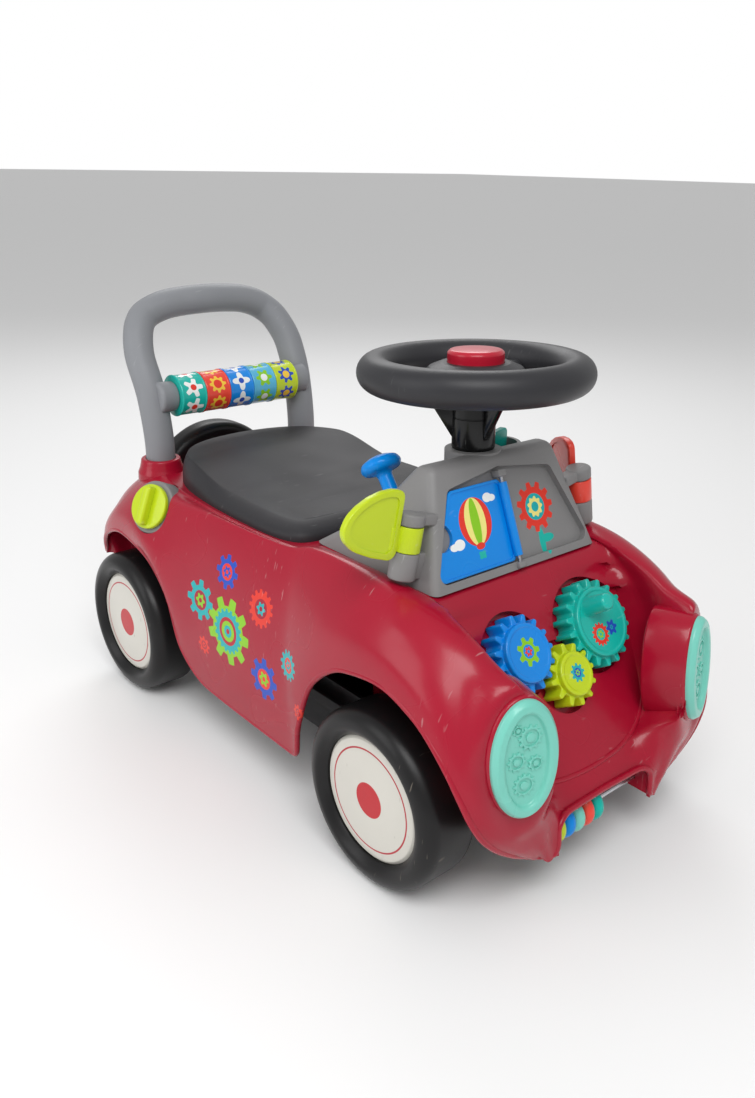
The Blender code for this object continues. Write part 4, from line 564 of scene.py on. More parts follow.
# ---------------------------------------------------------------- shaping
def softened(points, radius, steps=4, closed=False):
    """A line of 2-D points whose corners are rounded, each as far as its sides allow."""
    count = len(points)
    made = []
    for i, corner in enumerate(points):
        if not closed and i in (0, count - 1):
            made.append(tuple(corner))
            continue
        here = Vector(corner)
        back = Vector(points[i - 1]) - here
        ahead = Vector(points[(i + 1) % count]) - here
        reach_back, reach_ahead = back.length, ahead.length
        back.normalize()
        ahead.normalize()
        half = back.angle(ahead) / 2
        if half > math.radians(88) or half < math.radians(2):
            made.append(tuple(corner))
            continue
        fit = min(radius, 0.48 * min(reach_back, reach_ahead) * math.tan(half))
        centre = here + (back + ahead).normalized() * (fit / math.sin(half))
        start = here + back * (fit / math.tan(half)) - centre
        end = here + ahead * (fit / math.tan(half)) - centre
        for k in range(steps + 1):
            spoke = start.normalized().slerp(end.normalized(), k / steps)
            made.append(tuple(centre + spoke * fit))
    return made


def arc(centre, radius, first, last, steps):
    angles = [math.radians(first + (last - first) * k / steps) for k in range(steps + 1)]
    return [(centre[0] + radius * math.cos(a), centre[1] + radius * math.sin(a)) for a in angles]


def lathe(profile, steps=96, closed=False):
    """A (radius, height) line spun about Z."""
    bm = bmesh.new()
    verts = [bm.verts.new((r, 0.0, h)) for r, h in profile]
    edges = [bm.edges.new(pair) for pair in zip(verts, verts[1:])]
    if closed:
        edges.append(bm.edges.new((verts[-1], verts[0])))
    bmesh.ops.spin(
        bm, geom=verts + edges, cent=(0, 0, 0), axis=(0, 0, 1), dvec=(0, 0, 0), angle=2 * math.pi,
        steps=steps, use_merge=True, use_duplicate=False,
    )
    bmesh.ops.remove_doubles(bm, verts=bm.verts, dist=0.000005)
    bmesh.ops.recalc_face_normals(bm, faces=bm.faces)
    return bm


def bevelled(bm, edges, width, segments):
    bmesh.ops.bevel(
        bm, geom=edges, offset=width, offset_type="OFFSET", segments=segments, profile=0.5,
        affect="EDGES", clamp_overlap=True, material=-1,
    )


def soften_edges(bm, width, angle, segments):
    sharp = [e for e in bm.edges if len(e.link_faces) == 2 and e.calc_face_angle() > math.radians(angle)]
    bevelled(bm, sharp, width, segments)


def slab(outline, low, high, edge=0.0, segments=3):
    """A flat outline made into a plate."""
    bm = bmesh.new()
    face = bm.faces.new([bm.verts.new((x, y, low)) for x, y in outline])
    raised = bmesh.ops.extrude_face_region(bm, geom=[face])["geom"]
    lifted = [v for v in raised if isinstance(v, bmesh.types.BMVert)]
    bmesh.ops.translate(bm, verts=lifted, vec=(0, 0, high - low))
    bmesh.ops.recalc_face_normals(bm, faces=bm.faces)
    if edge:
        soften_edges(bm, edge, 30, segments)
    return bm


def block(size, centre, edge=0.0, segments=3):
    bm = bmesh.new()
    bmesh.ops.create_cube(bm, size=1.0, matrix=Matrix.Translation(centre) @ Matrix.Diagonal((*size, 1.0)))
    if edge:
        soften_edges(bm, edge, 30, segments)
    return bm


def rod(radius, low, high, steps=32, edge=0.0):
    outline = [(0.0, low), (radius, low), (radius, high), (0.0, high)]
    return lathe(softened(outline, edge, 3) if edge else outline, steps)


def moved(bm, place):
    bm.transform(place)
    return bm


def merged(*parts):
    """Several closed shapes in one mesh."""
    whole = parts[0]
    for part in parts[1:]:
        mesh = bpy.data.meshes.new("part")
        part.to_mesh(mesh)
        part.free()
        whole.from_mesh(mesh)
        bpy.data.meshes.remove(mesh)
    return whole


def as_mesh(name, bm):
    mesh = bpy.data.meshes.new(name)
    bm.to_mesh(mesh)
    bm.free()
    return mesh


def settled(item):
    """The mesh that an object's modifiers make."""
    bpy.context.view_layer.update()
    graph = bpy.context.evaluated_depsgraph_get()
    return bpy.data.meshes.new_from_object(item.evaluated_get(graph))


def joined_with(part, place=Matrix.Identity(4)):
    return ("UNION", moved(part, place))


def cut_by(part, place=Matrix.Identity(4)):
    return ("DIFFERENCE", moved(part, place))


def carved(bm, steps):
    """A solid after a list of steps, each made by joined_with or cut_by."""
    base = bpy.data.objects.new("base", as_mesh("base", bm))
    scene.collection.objects.link(base)
    helpers = []
    for kind, part in steps:
        helper = bpy.data.objects.new("helper", as_mesh("helper", part))
        scene.collection.objects.link(helper)
        helpers.append(helper)
        modifier = base.modifiers.new(kind.lower(), "BOOLEAN")
        modifier.operation = kind
        modifier.solver = "EXACT"
        modifier.object = helper
    mesh = settled(base)
    bm = bmesh.new()
    bm.from_mesh(mesh)
    for item in helpers + [base]:
        bpy.data.objects.remove(item, do_unlink=True)
    bmesh.ops.remove_doubles(bm, verts=bm.verts, dist=0.00001)
    return bm


def bar_along(points, radius, resolution=8):
    """A round bar along a list of points, with filled ends."""
    curve = bpy.data.curves.new("bar", "CURVE")
    curve.dimensions = "3D"
    curve.bevel_depth = radius
    curve.bevel_resolution = resolution
    curve.use_fill_caps = True
    spline = curve.splines.new("POLY")
    spline.points.add(len(points) - 1)
    for point, place in zip(spline.points, points):
        point.co = (*place, 1.0)
    item = bpy.data.objects.new("bar", curve)
    scene.collection.objects.link(item)
    mesh = settled(item)
    bpy.data.objects.remove(item, do_unlink=True)
    bm = bmesh.new()
    bm.from_mesh(mesh)
    bmesh.ops.remove_doubles(bm, verts=bm.verts, dist=0.00002)
    bmesh.ops.recalc_face_normals(bm, faces=bm.faces)
    return bm


def show(name, bm, look, body, nodes=(), smooth=35):
    """The finished piece: it rides on a body and stands for CAD nodes."""
    mesh = as_mesh(name, bm)
    mesh.shade_smooth()
    mesh.set_sharp_from_angle(angle=math.radians(smooth))
    mesh.materials.append(look if isinstance(look, bpy.types.Material) else finish[look])
    item = bpy.data.objects.new(name, mesh)
    scene.collection.objects.link(item)
    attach(item, body)
    if nodes:
        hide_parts(*nodes)
    return item


def clamped(value):
    return min(1.0, max(0.0, value))


def smoothed(value):
    share = clamped(value)
    return share * share * (3 - 2 * share)


def ease(value, low, high):
    return smoothed((value - low) / (high - low))


def slope_of(values, i):
    """The slope at one of the values that never overshoots its neighbours."""
    if i == 0:
        return values[1] - values[0]
    if i == len(values) - 1:
        return values[-1] - values[-2]
    before = values[i] - values[i - 1]
    after = values[i + 1] - values[i]
    if before * after <= 0:
        return 0.0
    return 2 * before * after / (before + after)


def along(values, t):
    """A smooth value at position t along equally spaced values."""
    i = min(int(t), len(values) - 2)
    f = t - i
    a, b = values[i], values[i + 1]
    sa, sb = slope_of(values, i), slope_of(values, i + 1)
    return (
        a * (2 * f**3 - 3 * f**2 + 1)
        + b * (3 * f**2 - 2 * f**3)
        + sa * (f**3 - 2 * f**2 + f)
        + sb * (f**3 - f**2)
    )


def point_along(points, t):
    return Vector([along([p[k] for p in points], t) for k in range(len(points[0]))])


def smooth_path(points, steps, first=0.0, last=None):
    last = len(points) - 1 if last is None else last
    return [point_along(points, first + (last - first) * i / steps) for i in range(steps + 1)]


# ---------------------------------------------------------------- body shell
def panel_y(z):
    return panel_top_y - (dash_deck_z - z) / math.tan(panel_angle)


def arch(axle_y, radius, stations):
    """Points round a wheel arch; each station is an angle in degrees and an x."""
    turns = [(math.radians(degrees), x) for degrees, x in stations]
    return [(x, axle_y + radius * math.cos(a), wheel_radius + radius * math.sin(a)) for a, x in turns]


# Five guide lines run from the bumper's lower edge over the top to the rear hem, station by station
bumper_y = -0.316
middle_line = (
    [(0, bumper_y, hem_z), (0, bumper_y + 0.004, 0.070)]
    + [(0, panel_y(z), z) for z in (0.093, 0.106, 0.124, 0.148, 0.172, 0.197, 0.222)]
    + [(0, y, dash_deck_z) for y in (-0.190, -0.120, -0.058)]
    + [(0, y, deck_z) for y in (-0.041, 0.020, 0.080, 0.130, 0.178, 0.215)]
    + [(0, 0.245, deck_z - 0.001), (0, 0.268, deck_z - 0.004), (0, rear_wall_y, 0.222)]
    + [(0, rear_wall_y, rear_hem_z)]
)
panel_line = [
    (0.045, bumper_y, hem_z),
    (0.052, bumper_y + 0.004, 0.070),
    (0.060, -0.294, 0.097),
    (0.082, -0.287, 0.108),
    (0.098, -0.278, 0.124),
    (0.107, -0.268, 0.148),
    (0.113, -0.257, 0.172),
    (0.116, -0.241, 0.196),
    (0.115, -0.222, 0.222),
    (0.108, -0.196, dash_deck_z),
    (0.107, -0.120, dash_deck_z),
    (0.108, -0.058, dash_deck_z),
    (0.117, -0.041, deck_z),
    (0.1245, 0.020, deck_z),
    (0.1245, 0.080, deck_z),
    (0.121, 0.130, deck_z),
    (0.115, 0.178, deck_z),
    (0.105, 0.215, deck_z),
    (0.094, 0.245, deck_z - 0.0005),
    (0.092, 0.268, deck_z - 0.004),
    (0.092, rear_wall_y, 0.222),
    (0.092, rear_wall_y, rear_hem_z),
]
crown_line = [
    (0.066, -0.315, hem_z),
    (0.074, -0.3135, 0.074),
    (0.081, -0.3140, 0.101),
    (0.080, -0.3150, 0.121),
    (0.0795, -0.3150, 0.146),
    (0.0825, -0.3120, 0.171),
    (0.0925, -0.3035, 0.196),
    (0.103, -0.2880, 0.213),
    (0.107, -0.256, 0.232),
    (0.107, -0.205, 0.246),
    (0.114, -0.120, 0.252),
    (0.116, -0.064, 0.249),
    (0.123, -0.042, 0.2405),
    (0.128, 0.020, 0.2405),
    (0.129, 0.080, 0.2405),
    (0.126, 0.130, 0.2405),
    (0.122, 0.178, 0.2405),
    (0.116, 0.215, 0.2400),
    (0.110, 0.247, 0.2370),
    (0.108, 0.272, 0.231),
    (0.108, 0.288, 0.212),
    (0.108, 0.290, rear_hem_z),
]
shoulder_line = [
    (0.076, -0.3085, hem_z),
    (0.096, -0.3125, 0.070),
    (0.113, -0.3125, 0.092),
    (0.126, -0.3085, 0.113),
    (0.134, -0.3030, 0.136),
    (0.138, -0.2965, 0.160),
    (0.140, -0.2860, 0.185),
    (0.139, -0.2680, 0.209),
    (0.138, -0.2380, 0.230),
    (0.136, -0.185, 0.248),
    (0.133, -0.125, 0.251),
    (0.130, -0.066, 0.247),
    (0.132, -0.036, 0.240),
    (0.136, 0.025, 0.238),
    (0.140, 0.080, 0.237),
    (0.145, 0.130, 0.235),
    (0.148, 0.178, 0.232),
    (0.148, 0.215, 0.227),
    (0.146, 0.252, 0.215),
    (0.143, 0.280, 0.196),
    (0.140, 0.303, 0.168),
    (0.132, 0.308, rear_hem_z),
]
hem_line = (
    arch(front_axle_y, 0.110, (
        (195, 0.090), (187, 0.113), (178.5, 0.134), (169, 0.150), (158, 0.159), (146, 0.163),
        (132, 0.1645), (114, 0.164), (93, 0.163), (68, 0.162), (38, 0.161), (8, 0.159),
    ))
    + [(0.154, -0.076, 0.056), (0.152, -0.010, 0.054), (0.152, 0.080, 0.056)]
    + arch(rear_axle_y, 0.105, (
        (176, 0.157), (145, 0.160), (115, 0.161), (85, 0.160), (60, 0.156), (42, 0.149), (30, 0.142),
    ))
)
guide_lines = (middle_line, panel_line, crown_line, shoulder_line, hem_line)
last_station = len(middle_line) - 1
panel_shares = (0.0, 0.22, 0.45, 0.68, 0.91, 1.0)
strip_rows = (10, 12, 16)
strip_bulges = (0.002, 0.004, 0.010)
stations_per_step = 8
smoothing_rounds = (6, 6, 3)
# Near each headlight, skin between the deep and the seat level is drawn up toward the seat level
lamp_seat = 0.0020
lamp_flat_reach = 1.06
lamp_free_reach = 1.60
lamp_deep = -0.024
lamp_shallow = -0.006


def body_point(row, station):
    """A point of the skin: rows count outward from the middle, stations from front to rear."""
    points = [point_along(line, station) for line in guide_lines]
    if row < len(panel_shares) - 1:
        return Vector((points[1].x * panel_shares[row], points[0].y, points[0].z))
    run = point_along(shoulder_line, min(station + 0.5, last_station)) - point_along(
        shoulder_line, max(station - 0.5, 0)
    )
    row -= len(panel_shares) - 1
    for strip, rows in enumerate(strip_rows):
        if row <= rows:
            break
        row -= rows
    a, b = points[strip + 1], points[strip + 2]
    square = (b - a).cross(run)
    out = square.normalized() if square.length > 1e-9 else Vector((0, 0, 1))
    height = min(strip_bulges[strip], 0.14 * (b - a).length) if strip == 2 else strip_bulges[strip]
    return a.lerp(b, row / rows) + out * height * math.sin(math.pi * row / rows)


def body_skin():
    """Half of the body's outer surface."""
    rows = len(panel_shares) - 1 + sum(strip_rows)
    columns = last_station * stations_per_step
    bm = bmesh.new()
    bmesh.ops.create_grid(bm, x_segments=rows, y_segments=columns, size=1.0)
    for vertex in bm.verts:
        row = round((vertex.co.x + 1) / 2 * rows)
        column = round((vertex.co.y + 1) / 2 * columns)
        vertex.co = body_point(row, column / stations_per_step)
    bm.normal_update()
    top = max(bm.faces, key=lambda f: f.calc_center_median().z)
    if top.normal.z < 0:
        bmesh.ops.reverse_faces(bm, faces=bm.faces)
    flat = {v for v in bm.verts if v.is_boundary or v.co.x < 0.92 * point_along(panel_line, 0).x}
    for v in bm.verts:
        below = v.co.z < dash_deck_z - 0.001
        if below and abs(v.co.y - panel_y(v.co.z)) < 0.0004 or not below and v.co.x < 0.110:
            flat.add(v)
    free = [v for v in bm.verts if v not in flat]
    lamp = headlight_frame(1)
    to_lamp = lamp.inverted()
    for rounds in smoothing_rounds:
        for vertex in free:
            place = to_lamp @ vertex.co
            reach = math.hypot(place.x / lamp_half_width, place.y / lamp_half_height)
            near = 1.0 - ease(reach, lamp_flat_reach, lamp_free_reach)
            if near > 0 and lamp_deep < place.z < lamp_seat:
                place.z += (lamp_seat - place.z) * near * ease(place.z, lamp_deep, lamp_shallow)
                vertex.co = lamp @ place
        for _ in range(rounds):
            bmesh.ops.smooth_vert(
                bm, verts=free, factor=0.5, use_axis_x=True, use_axis_y=True, use_axis_z=True
            )
    return bm


def body_wall_solid():
    item = bpy.data.objects.new("skin", as_mesh("skin", body_skin()))
    scene.collection.objects.link(item)
    other = item.modifiers.new("other_half", "MIRROR")
    other.use_clip = True
    other.merge_threshold = 0.00001
    wall = item.modifiers.new("wall", "SOLIDIFY")
    wall.thickness = body_wall
    wall.offset = -1.0
    bm = bmesh.new()
    bm.from_mesh(settled(item))
    bpy.data.objects.remove(item, do_unlink=True)
    return bm


gear_module = 0.004
gear_places = {"blue": (-0.0405, -0.0665), "teal": (0.0555, -0.0665), "lime": (0.0039, -0.09828)}
gear_teeth = {"blue": 15, "teal": 18, "lime": 12}
gear_addendum = 0.0033
gear_dedendum = 0.0040
pocket_depth = 0.008
pocket_gap = 0.0045
pocket_wall = 0.0035


def gear_outer(name):
    return gear_teeth[name] * gear_module / 2 + gear_addendum


def gear_cups(extra, low, high):
    """One round rod for each gear's pocket; each is a little longer than the last, so no faces coincide."""
    parts = []
    for k, (name, (x, y)) in enumerate(gear_places.items()):
        cup = rod(gear_outer(name) + pocket_gap + extra, low - k * 0.0001, high + k * 0.0001, 72)
        parts.append(moved(cup, panel_frame @ shift(x, y)))
    return parts


def lamp_oval(profile):
    """A (radius, height) line spun round a headlight's oval; radii run from 0 to its half height."""
    bm = lathe(profile, 96)
    apart = lamp_half_height - lamp_half_width
    narrow = 0.48
    limit = apart / (1 - narrow)
    for vertex in bm.verts:
        r = math.hypot(vertex.co.x, vertex.co.y)
        if r > 1e-6:
            across = (r - apart) / r if r > limit else narrow
            vertex.co.x *= across
    return bm


seat_pin_y = 0.2490
seat_pin_z = 0.2441


def soften_pocket_rims(bm):
    """Rounds the edge where each gear pocket meets the panel."""
    to_panel = panel_frame.inverted()
    rims = []

    def on_rim(name, end):
        x, y = gear_places[name]
        return abs(math.hypot(end.x - x, end.y - y) - gear_outer(name) - pocket_gap) < 0.0005

    for edge in bm.edges:
        if len(edge.link_faces) != 2 or edge.calc_face_angle() < math.radians(60):
            continue
        ends = [to_panel @ v.co for v in edge.verts]
        if max(abs(end.z) for end in ends) > 0.0004:
            continue
        if any(all(on_rim(name, end) for end in ends) for name in gear_places):
            rims.append(edge)
    bevelled(bm, rims, 0.0022, 4)


def make_body():
    steps = []
    for x, y in ((-0.074, -0.105), (0.074, -0.105), (-0.074, 0.248), (0.074, 0.248)):
        top = (dash_deck_z if y < 0 else deck_z - 0.001) - body_wall / 2
        steps.append(joined_with(rod(0.007, 0.0503, top, 24), shift(x, y)))
    for cup in gear_cups(pocket_wall, -pocket_depth - pocket_wall, -body_wall / 2):
        steps.append(joined_with(cup))
    for side in (-1, 1):
        lug = block((0.006, 0.007, 0.0083), (side * 0.023, seat_pin_y, 0.23995), 0.0006)
        steps.append(joined_with(lug))
        knuckle = rod(0.0035, -0.0031, 0.0031, 24, 0.0005)
        steps.append(joined_with(knuckle, across((side * 0.023, seat_pin_y, seat_pin_z))))
        lug = block((0.006, 0.0255, 0.020), (side * 0.0655, -0.30075, 0.0575))
        steps.append(joined_with(lug))
        collar = [
            (0.0, 0.229), (0.0262, 0.229), (0.0258, 0.2385), (0.0238, 0.2435), (0.0224, 0.2490),
            (0.0215, 0.254), (0.0, 0.254),
        ]
        collar = lathe(softened(collar, 0.0022, 4), 64)
        steps.append(joined_with(collar, shift(side * handle_foot_x, roller_y)))
    for pocket in gear_cups(0.0, -pocket_depth, 0.040):
        steps.append(cut_by(pocket))
    for x, y in gear_places.values():
        spindle = rod(0.0060, -0.010, 0.008, 24, 0.0005)
        steps.append(joined_with(spindle, panel_frame @ shift(x, y)))
    mouth = softened([(-0.086, 0.004), (0.086, 0.004), (0.086, 0.186), (-0.086, 0.186)], 0.018, 6, True)
    steps.append(cut_by(slab(mouth, 0.225, 0.255)))
    cut = softened(
        [
            (-0.062, 0.0045), (0.062, 0.0045), (0.062, 0.0700), (0.052, 0.0790), (-0.052, 0.0790),
            (-0.062, 0.0700),
        ],
        0.008, 6, True,
    )
    steps.append(cut_by(slab(cut, -0.020, 0.020), axes_at((0, bumper_y, 0), (quarter_turn, 0, 0))))
    for side in (-1, 1):
        bore = rod(handle_radius + 0.0006, 0.200, 0.280, 48)
        steps.append(cut_by(bore, shift(side * handle_foot_x, roller_y)))
    for radius, reach, frame_of_bore in (
        (seat_pin_bore, 0.035, across((0, seat_pin_y, seat_pin_z))),
        (0.0033, 0.075, across((0, bead_bar_y, bead_bar_z))),
        (0.0143, 0.010, axes_at((0, rear_wall_y, spare_z), (quarter_turn, 0, 0))),
    ):
        steps.append(cut_by(rod(radius, -reach, reach, 32), frame_of_bore))
    steps.append(cut_by(rod(0.0283, -0.020, 0.040, 64), dial_frame))
    bm = carved(body_wall_solid(), steps)
    soften_pocket_rims(bm)
    show("body", bm, "body", "car", ["body_shell"], 40)


def hem_lip():
    """The rolled edge that runs round the body's wheel arches, sills and rear corners."""
    parts = []
    bumper = [
        (0.0, -0.3085, 0.0790), (0.046, -0.3100, 0.0790), (0.0575, -0.3120, 0.0755),
        (0.0625, -0.3135, 0.0680), (0.0625, -0.3145, 0.0560), (0.0660, -0.3135, 0.0475),
        (0.0760, -0.3075, 0.0468),
    ]
    for side in (-1, 1):
        line = smooth_path(hem_line, 150, 0.0, last_station)
        inset = [Vector((side * (p.x - 0.0022), p.y, p.z)) for p in line]
        front = [Vector((side * x, y, z)) for x, y, z in smooth_path(bumper, 40)]
        parts.append(bar_along(front + inset, 0.0028, 3))
    bm = merged(*parts)
    show("body_hem", bm, "body", "car", [], 60)


def panel_ridge():
    """The soft ridge that frames the bonnet panel, round its foot and up both sides."""
    foot_and_side = (
        (0.0, 0.0935), (0.030, 0.0950), (0.056, 0.1000), (0.0775, 0.1100), (0.0925, 0.1245),
        (0.1010, 0.148), (0.1065, 0.172), (0.1090, 0.197), (0.1080, 0.222),
    )
    half = [(x, panel_y(z), z) for x, z in foot_and_side] + [(0.1035, -0.199, 0.2435)]
    out = Vector((0, -math.sin(panel_angle), math.cos(panel_angle)))
    whole = [(-x, y, z) for x, y, z in reversed(half[1:])] + half
    line = [point - out * 0.0012 for point in smooth_path(whole, 160)]
    show("bonnet_ridge", bar_along(line, 0.0026, 4), "body", "car", [], 60)


def lamp_sockets():
    """The fenders' raised seats, which the headlights sit in."""
    profile = softened(
        [
            (0.0, -0.034), (0.0530, -0.034), (0.0525, -0.020), (0.0512, -0.004), (0.0502, 0.0050),
            (0.0, 0.0050),
        ],
        0.0028, 5,
    )
    parts = [moved(lamp_oval(profile), headlight_frame(side)) for side in (-1, 1)]
    show("lamp_sockets", merged(*parts), "body", "car", [], 50)


make_body()
hem_lip()
panel_ridge()
lamp_sockets()


# ---------------------------------------------------------------- cowl, door and windscreen
def cowl_half_width(z, inset):
    share = (z - dash_deck_z) / (cowl_top_z - dash_deck_z)
    return 0.1015 + (0.0745 - 0.1015) * share - inset


def cowl_form(inset, front_inset, foot_z, edge):
    """The cowl's outer form, or with insets the space inside it."""
    down = inset / math.cos(math.radians(40))

    def front(z):
        return panel_top_y + (z - dash_deck_z) * math.tan(cowl_lean) + front_inset / math.cos(cowl_lean)

    top_z = cowl_top_z - inset
    outline = [
        (front(foot_z), foot_z),
        (-0.0415 - inset - down * 0.8, foot_z),
        (-0.080, 0.270 - down),
        (-0.118, 0.305 - down),
        (-0.144, top_z),
        (front(top_z), top_z),
    ]
    bm = slab(outline, -1.0, 1.0)
    for vertex in bm.verts:
        y, z, side = vertex.co
        vertex.co = (side * cowl_half_width(z, inset), y, z)
    bmesh.ops.recalc_face_normals(bm, faces=bm.faces)
    if edge:
        rim = [
            e for e in bm.edges
            if e.calc_face_angle() > math.radians(30) and max(v.co.z for v in e.verts) > foot_z + 0.001
        ]
        bevelled(bm, rim, edge, 6)
    return bm


def make_cowl():
    steps = [cut_by(cowl_form(0.0035, 0.011, dash_deck_z - 0.010, 0.0))]
    place = shift(key_x, key_y)
    steps.append(joined_with(rod(0.021, 0.300, 0.3322, 48), place))
    steps.append(cut_by(rod(0.0175, 0.316, 0.376, 48), place))
    boss = lathe(softened([(0.0, -0.045), (0.025, -0.045), (0.025, 0.0), (0.0, 0.0)], 0.001, 3), 72)
    steps.append(joined_with(boss, steering_frame))
    steps.append(joined_with(rod(0.011, 0.290, 0.316, 40, 0.001), place))
    for side in (-1, 1):
        at = mirror_frame(side)
        for low, high in ((0.0, 0.0232), (0.0448, 0.05501)):
            knuckle = rod(0.0115, low, high, 48, 0.0018)
            steps.append(joined_with(knuckle, at))
            arm = block((0.024, 0.013, high - low - 0.001), (-side * 0.012, 0, (low + high) / 2), 0.0015)
            steps.append(joined_with(arm, at))
        lug = block((0.004, 0.014, 0.0265), (side * 0.0113, 0, 0.00525), 0.0008)
        steps.append(joined_with(lug, lever_frame))
    recess = softened(
        [(-0.095, 0.007), (0.095, 0.007), (0.063, 0.0812), (0.0, 0.0905), (-0.063, 0.0812)], 0.0075, 8, True
    )
    steps.append(cut_by(slab(recess, -0.006, 0.034), windscreen_frame))
    for low, high in ((0.001, 0.0065), (0.0812, 0.0872)):
        lug = block((0.009, high - low, 0.0105), (0, (low + high) / 2, -0.00125), 0.0012)
        steps.append(joined_with(lug, windscreen_frame))
    steps.append(cut_by(rod(0.0103, -0.090, 0.030, 48), steering_frame))
    steps.append(cut_by(rod(0.0048, 0.286, 0.346, 32), place))
    for side in (-1, 1):
        steps.append(cut_by(rod(pin_bore, 0.003, 0.052, 24), mirror_frame(side)))
    slot = block((0.017, 0.0286, 0.030), (0, 0, 0.027), 0.003, 4)
    steps.append(cut_by(slot, lever_frame))
    steps.append(cut_by(rod(pin_bore, -0.0136, 0.0136, 24), lever_frame @ about("Y")))
    pin = rod(door_pin_bore, -0.0415, 0.0415, 24)
    steps.append(cut_by(pin, windscreen_frame @ axes_at((0, 0.0435, 0.0005), (quarter_turn, 0, 0))))
    bm = carved(cowl_form(0.0, 0.0, dash_deck_z + gap, 0.0065), steps)
    show("cowl", bm, "cowl", "car", ["cowl"], 32)


def make_door():
    foot, low, high = 0.0938, 0.0082, 0.080
    lean = (0.095 - 0.062) / (0.082 - 0.007)
    top = 0.095 - lean * (high - 0.007) - 0.00156
    edge = foot - lean * (0.044 - low)
    outline = softened([(-foot, low), (0.0, low), (0.0, high), (-top, high)], 0.0060, 6, True)
    middle = Vector((-0.040, 0.043))
    field = [tuple(middle + (Vector(point) - middle) * 0.935) for point in outline]
    bm = slab(outline, -0.0057, -0.0012)
    soften_edges(bm, 0.0007, 60, 2)
    bm = carved(bm, [cut_by(slab(field, -0.0022, 0.004))])
    steps = [
        joined_with(
            rod(0.0040, -0.0322, 0.0322, 40, 0.0005),
            axes_at((0, (low + high) / 2, 0.0005), (quarter_turn, 0, 0)),
        ),
        cut_by(rod(0.0115, -0.02, 0.02, 48), shift(-edge - 0.0005, 0.044)),
        cut_by(rod(door_pin_bore, -0.08, 0.08, 24), axes_at((0, 0.044, 0.0005), (quarter_turn, 0, 0))),
    ]
    bm = carved(bm, steps)
    show("peekaboo_door", moved(bm, windscreen_frame), "door", "door", ["peekaboo_door"], 30)


make_cowl()
make_door()


# ---------------------------------------------------------------- steering wheel, column and horn
def make_steering():
    turns = [2 * math.pi * k / 32 for k in range(32)]
    tube = [
        (ring_radius + ring_tube_radius * math.cos(a), ring_height + ring_tube_radius * math.sin(a))
        for a in turns
    ]
    ring = lathe(tube, 144, True)
    steps = []
    for angle in spoke_angles:
        reach = ring_radius - 0.020
        spoke = block((reach, 0.0262, 0.012), (0.020 + reach / 2, 0, ring_height - 0.005), 0.0055, 6)
        steps.append(joined_with(spoke, Matrix.Rotation(angle, 4, "Z")))
    hub_foot = 0.0463
    hub_top = hub_foot + 0.0235
    hub = softened(
        [
            (0.0, hub_foot), (0.0435, hub_foot), (0.0448, hub_top - 0.0055), (0.0400, hub_top + 0.0005),
            (0.0300, hub_top + 0.0045), (0.0, hub_top + 0.0050),
        ],
        0.0050, 5,
    )
    steps.append(joined_with(lathe(hub, 96)))
    steps.append(cut_by(rod(0.0193, 0.040, hub_foot + 0.006, 64)))
    horn_foot = horn_top - 0.016
    floor = horn_foot - 0.004
    steps.append(cut_by(rod(horn_radius + 0.0004, floor, floor + 0.040, 72)))
    bm = carved(ring, steps)
    bm.transform(steering_frame)
    show("steering_wheel", bm, "wheel", "steering", ["steering_wheel"], 28)

    column = lathe(
        [
            (0.0, 0.052), (0.019, 0.052), (0.019, 0.0285), (0.0186, 0.0281), (0.0186, 0.0275),
            (0.019, 0.0271), (0.019, 0.0020), (0.0184, gap), (0.010, gap), (0.010, -0.0486), (0.0, -0.0486),
        ],
        72,
    )
    steps = []
    fin = [(0.016, 0.010), (0.019, 0.010), (0.0405, 0.0440), (0.0405, 0.0457), (0.016, 0.0457)]
    for angle in spoke_angles:
        blade = slab(fin, -0.003, 0.003, 0.0007, 2)
        steps.append(joined_with(blade, Matrix.Rotation(angle, 4, "Z") @ about("X")))
    bm = moved(carved(column, steps), steering_frame)
    show("steering_column", bm, "gloss_black", "steering", ["steering_column"], 28)

    crown = horn_top + 0.0035
    button = softened(
        [
            (0.0, crown), (horn_radius * 0.50, crown - 0.0003), (horn_radius * 0.90, crown - 0.0012),
            (horn_radius, crown - 0.0035), (horn_radius, horn_foot), (0.0, horn_foot),
        ],
        0.003, 5,
    )
    bm = moved(lathe(button, 96), steering_frame)
    show("horn_button", bm, "crimson", "horn", ["horn_button"], 50)


make_steering()


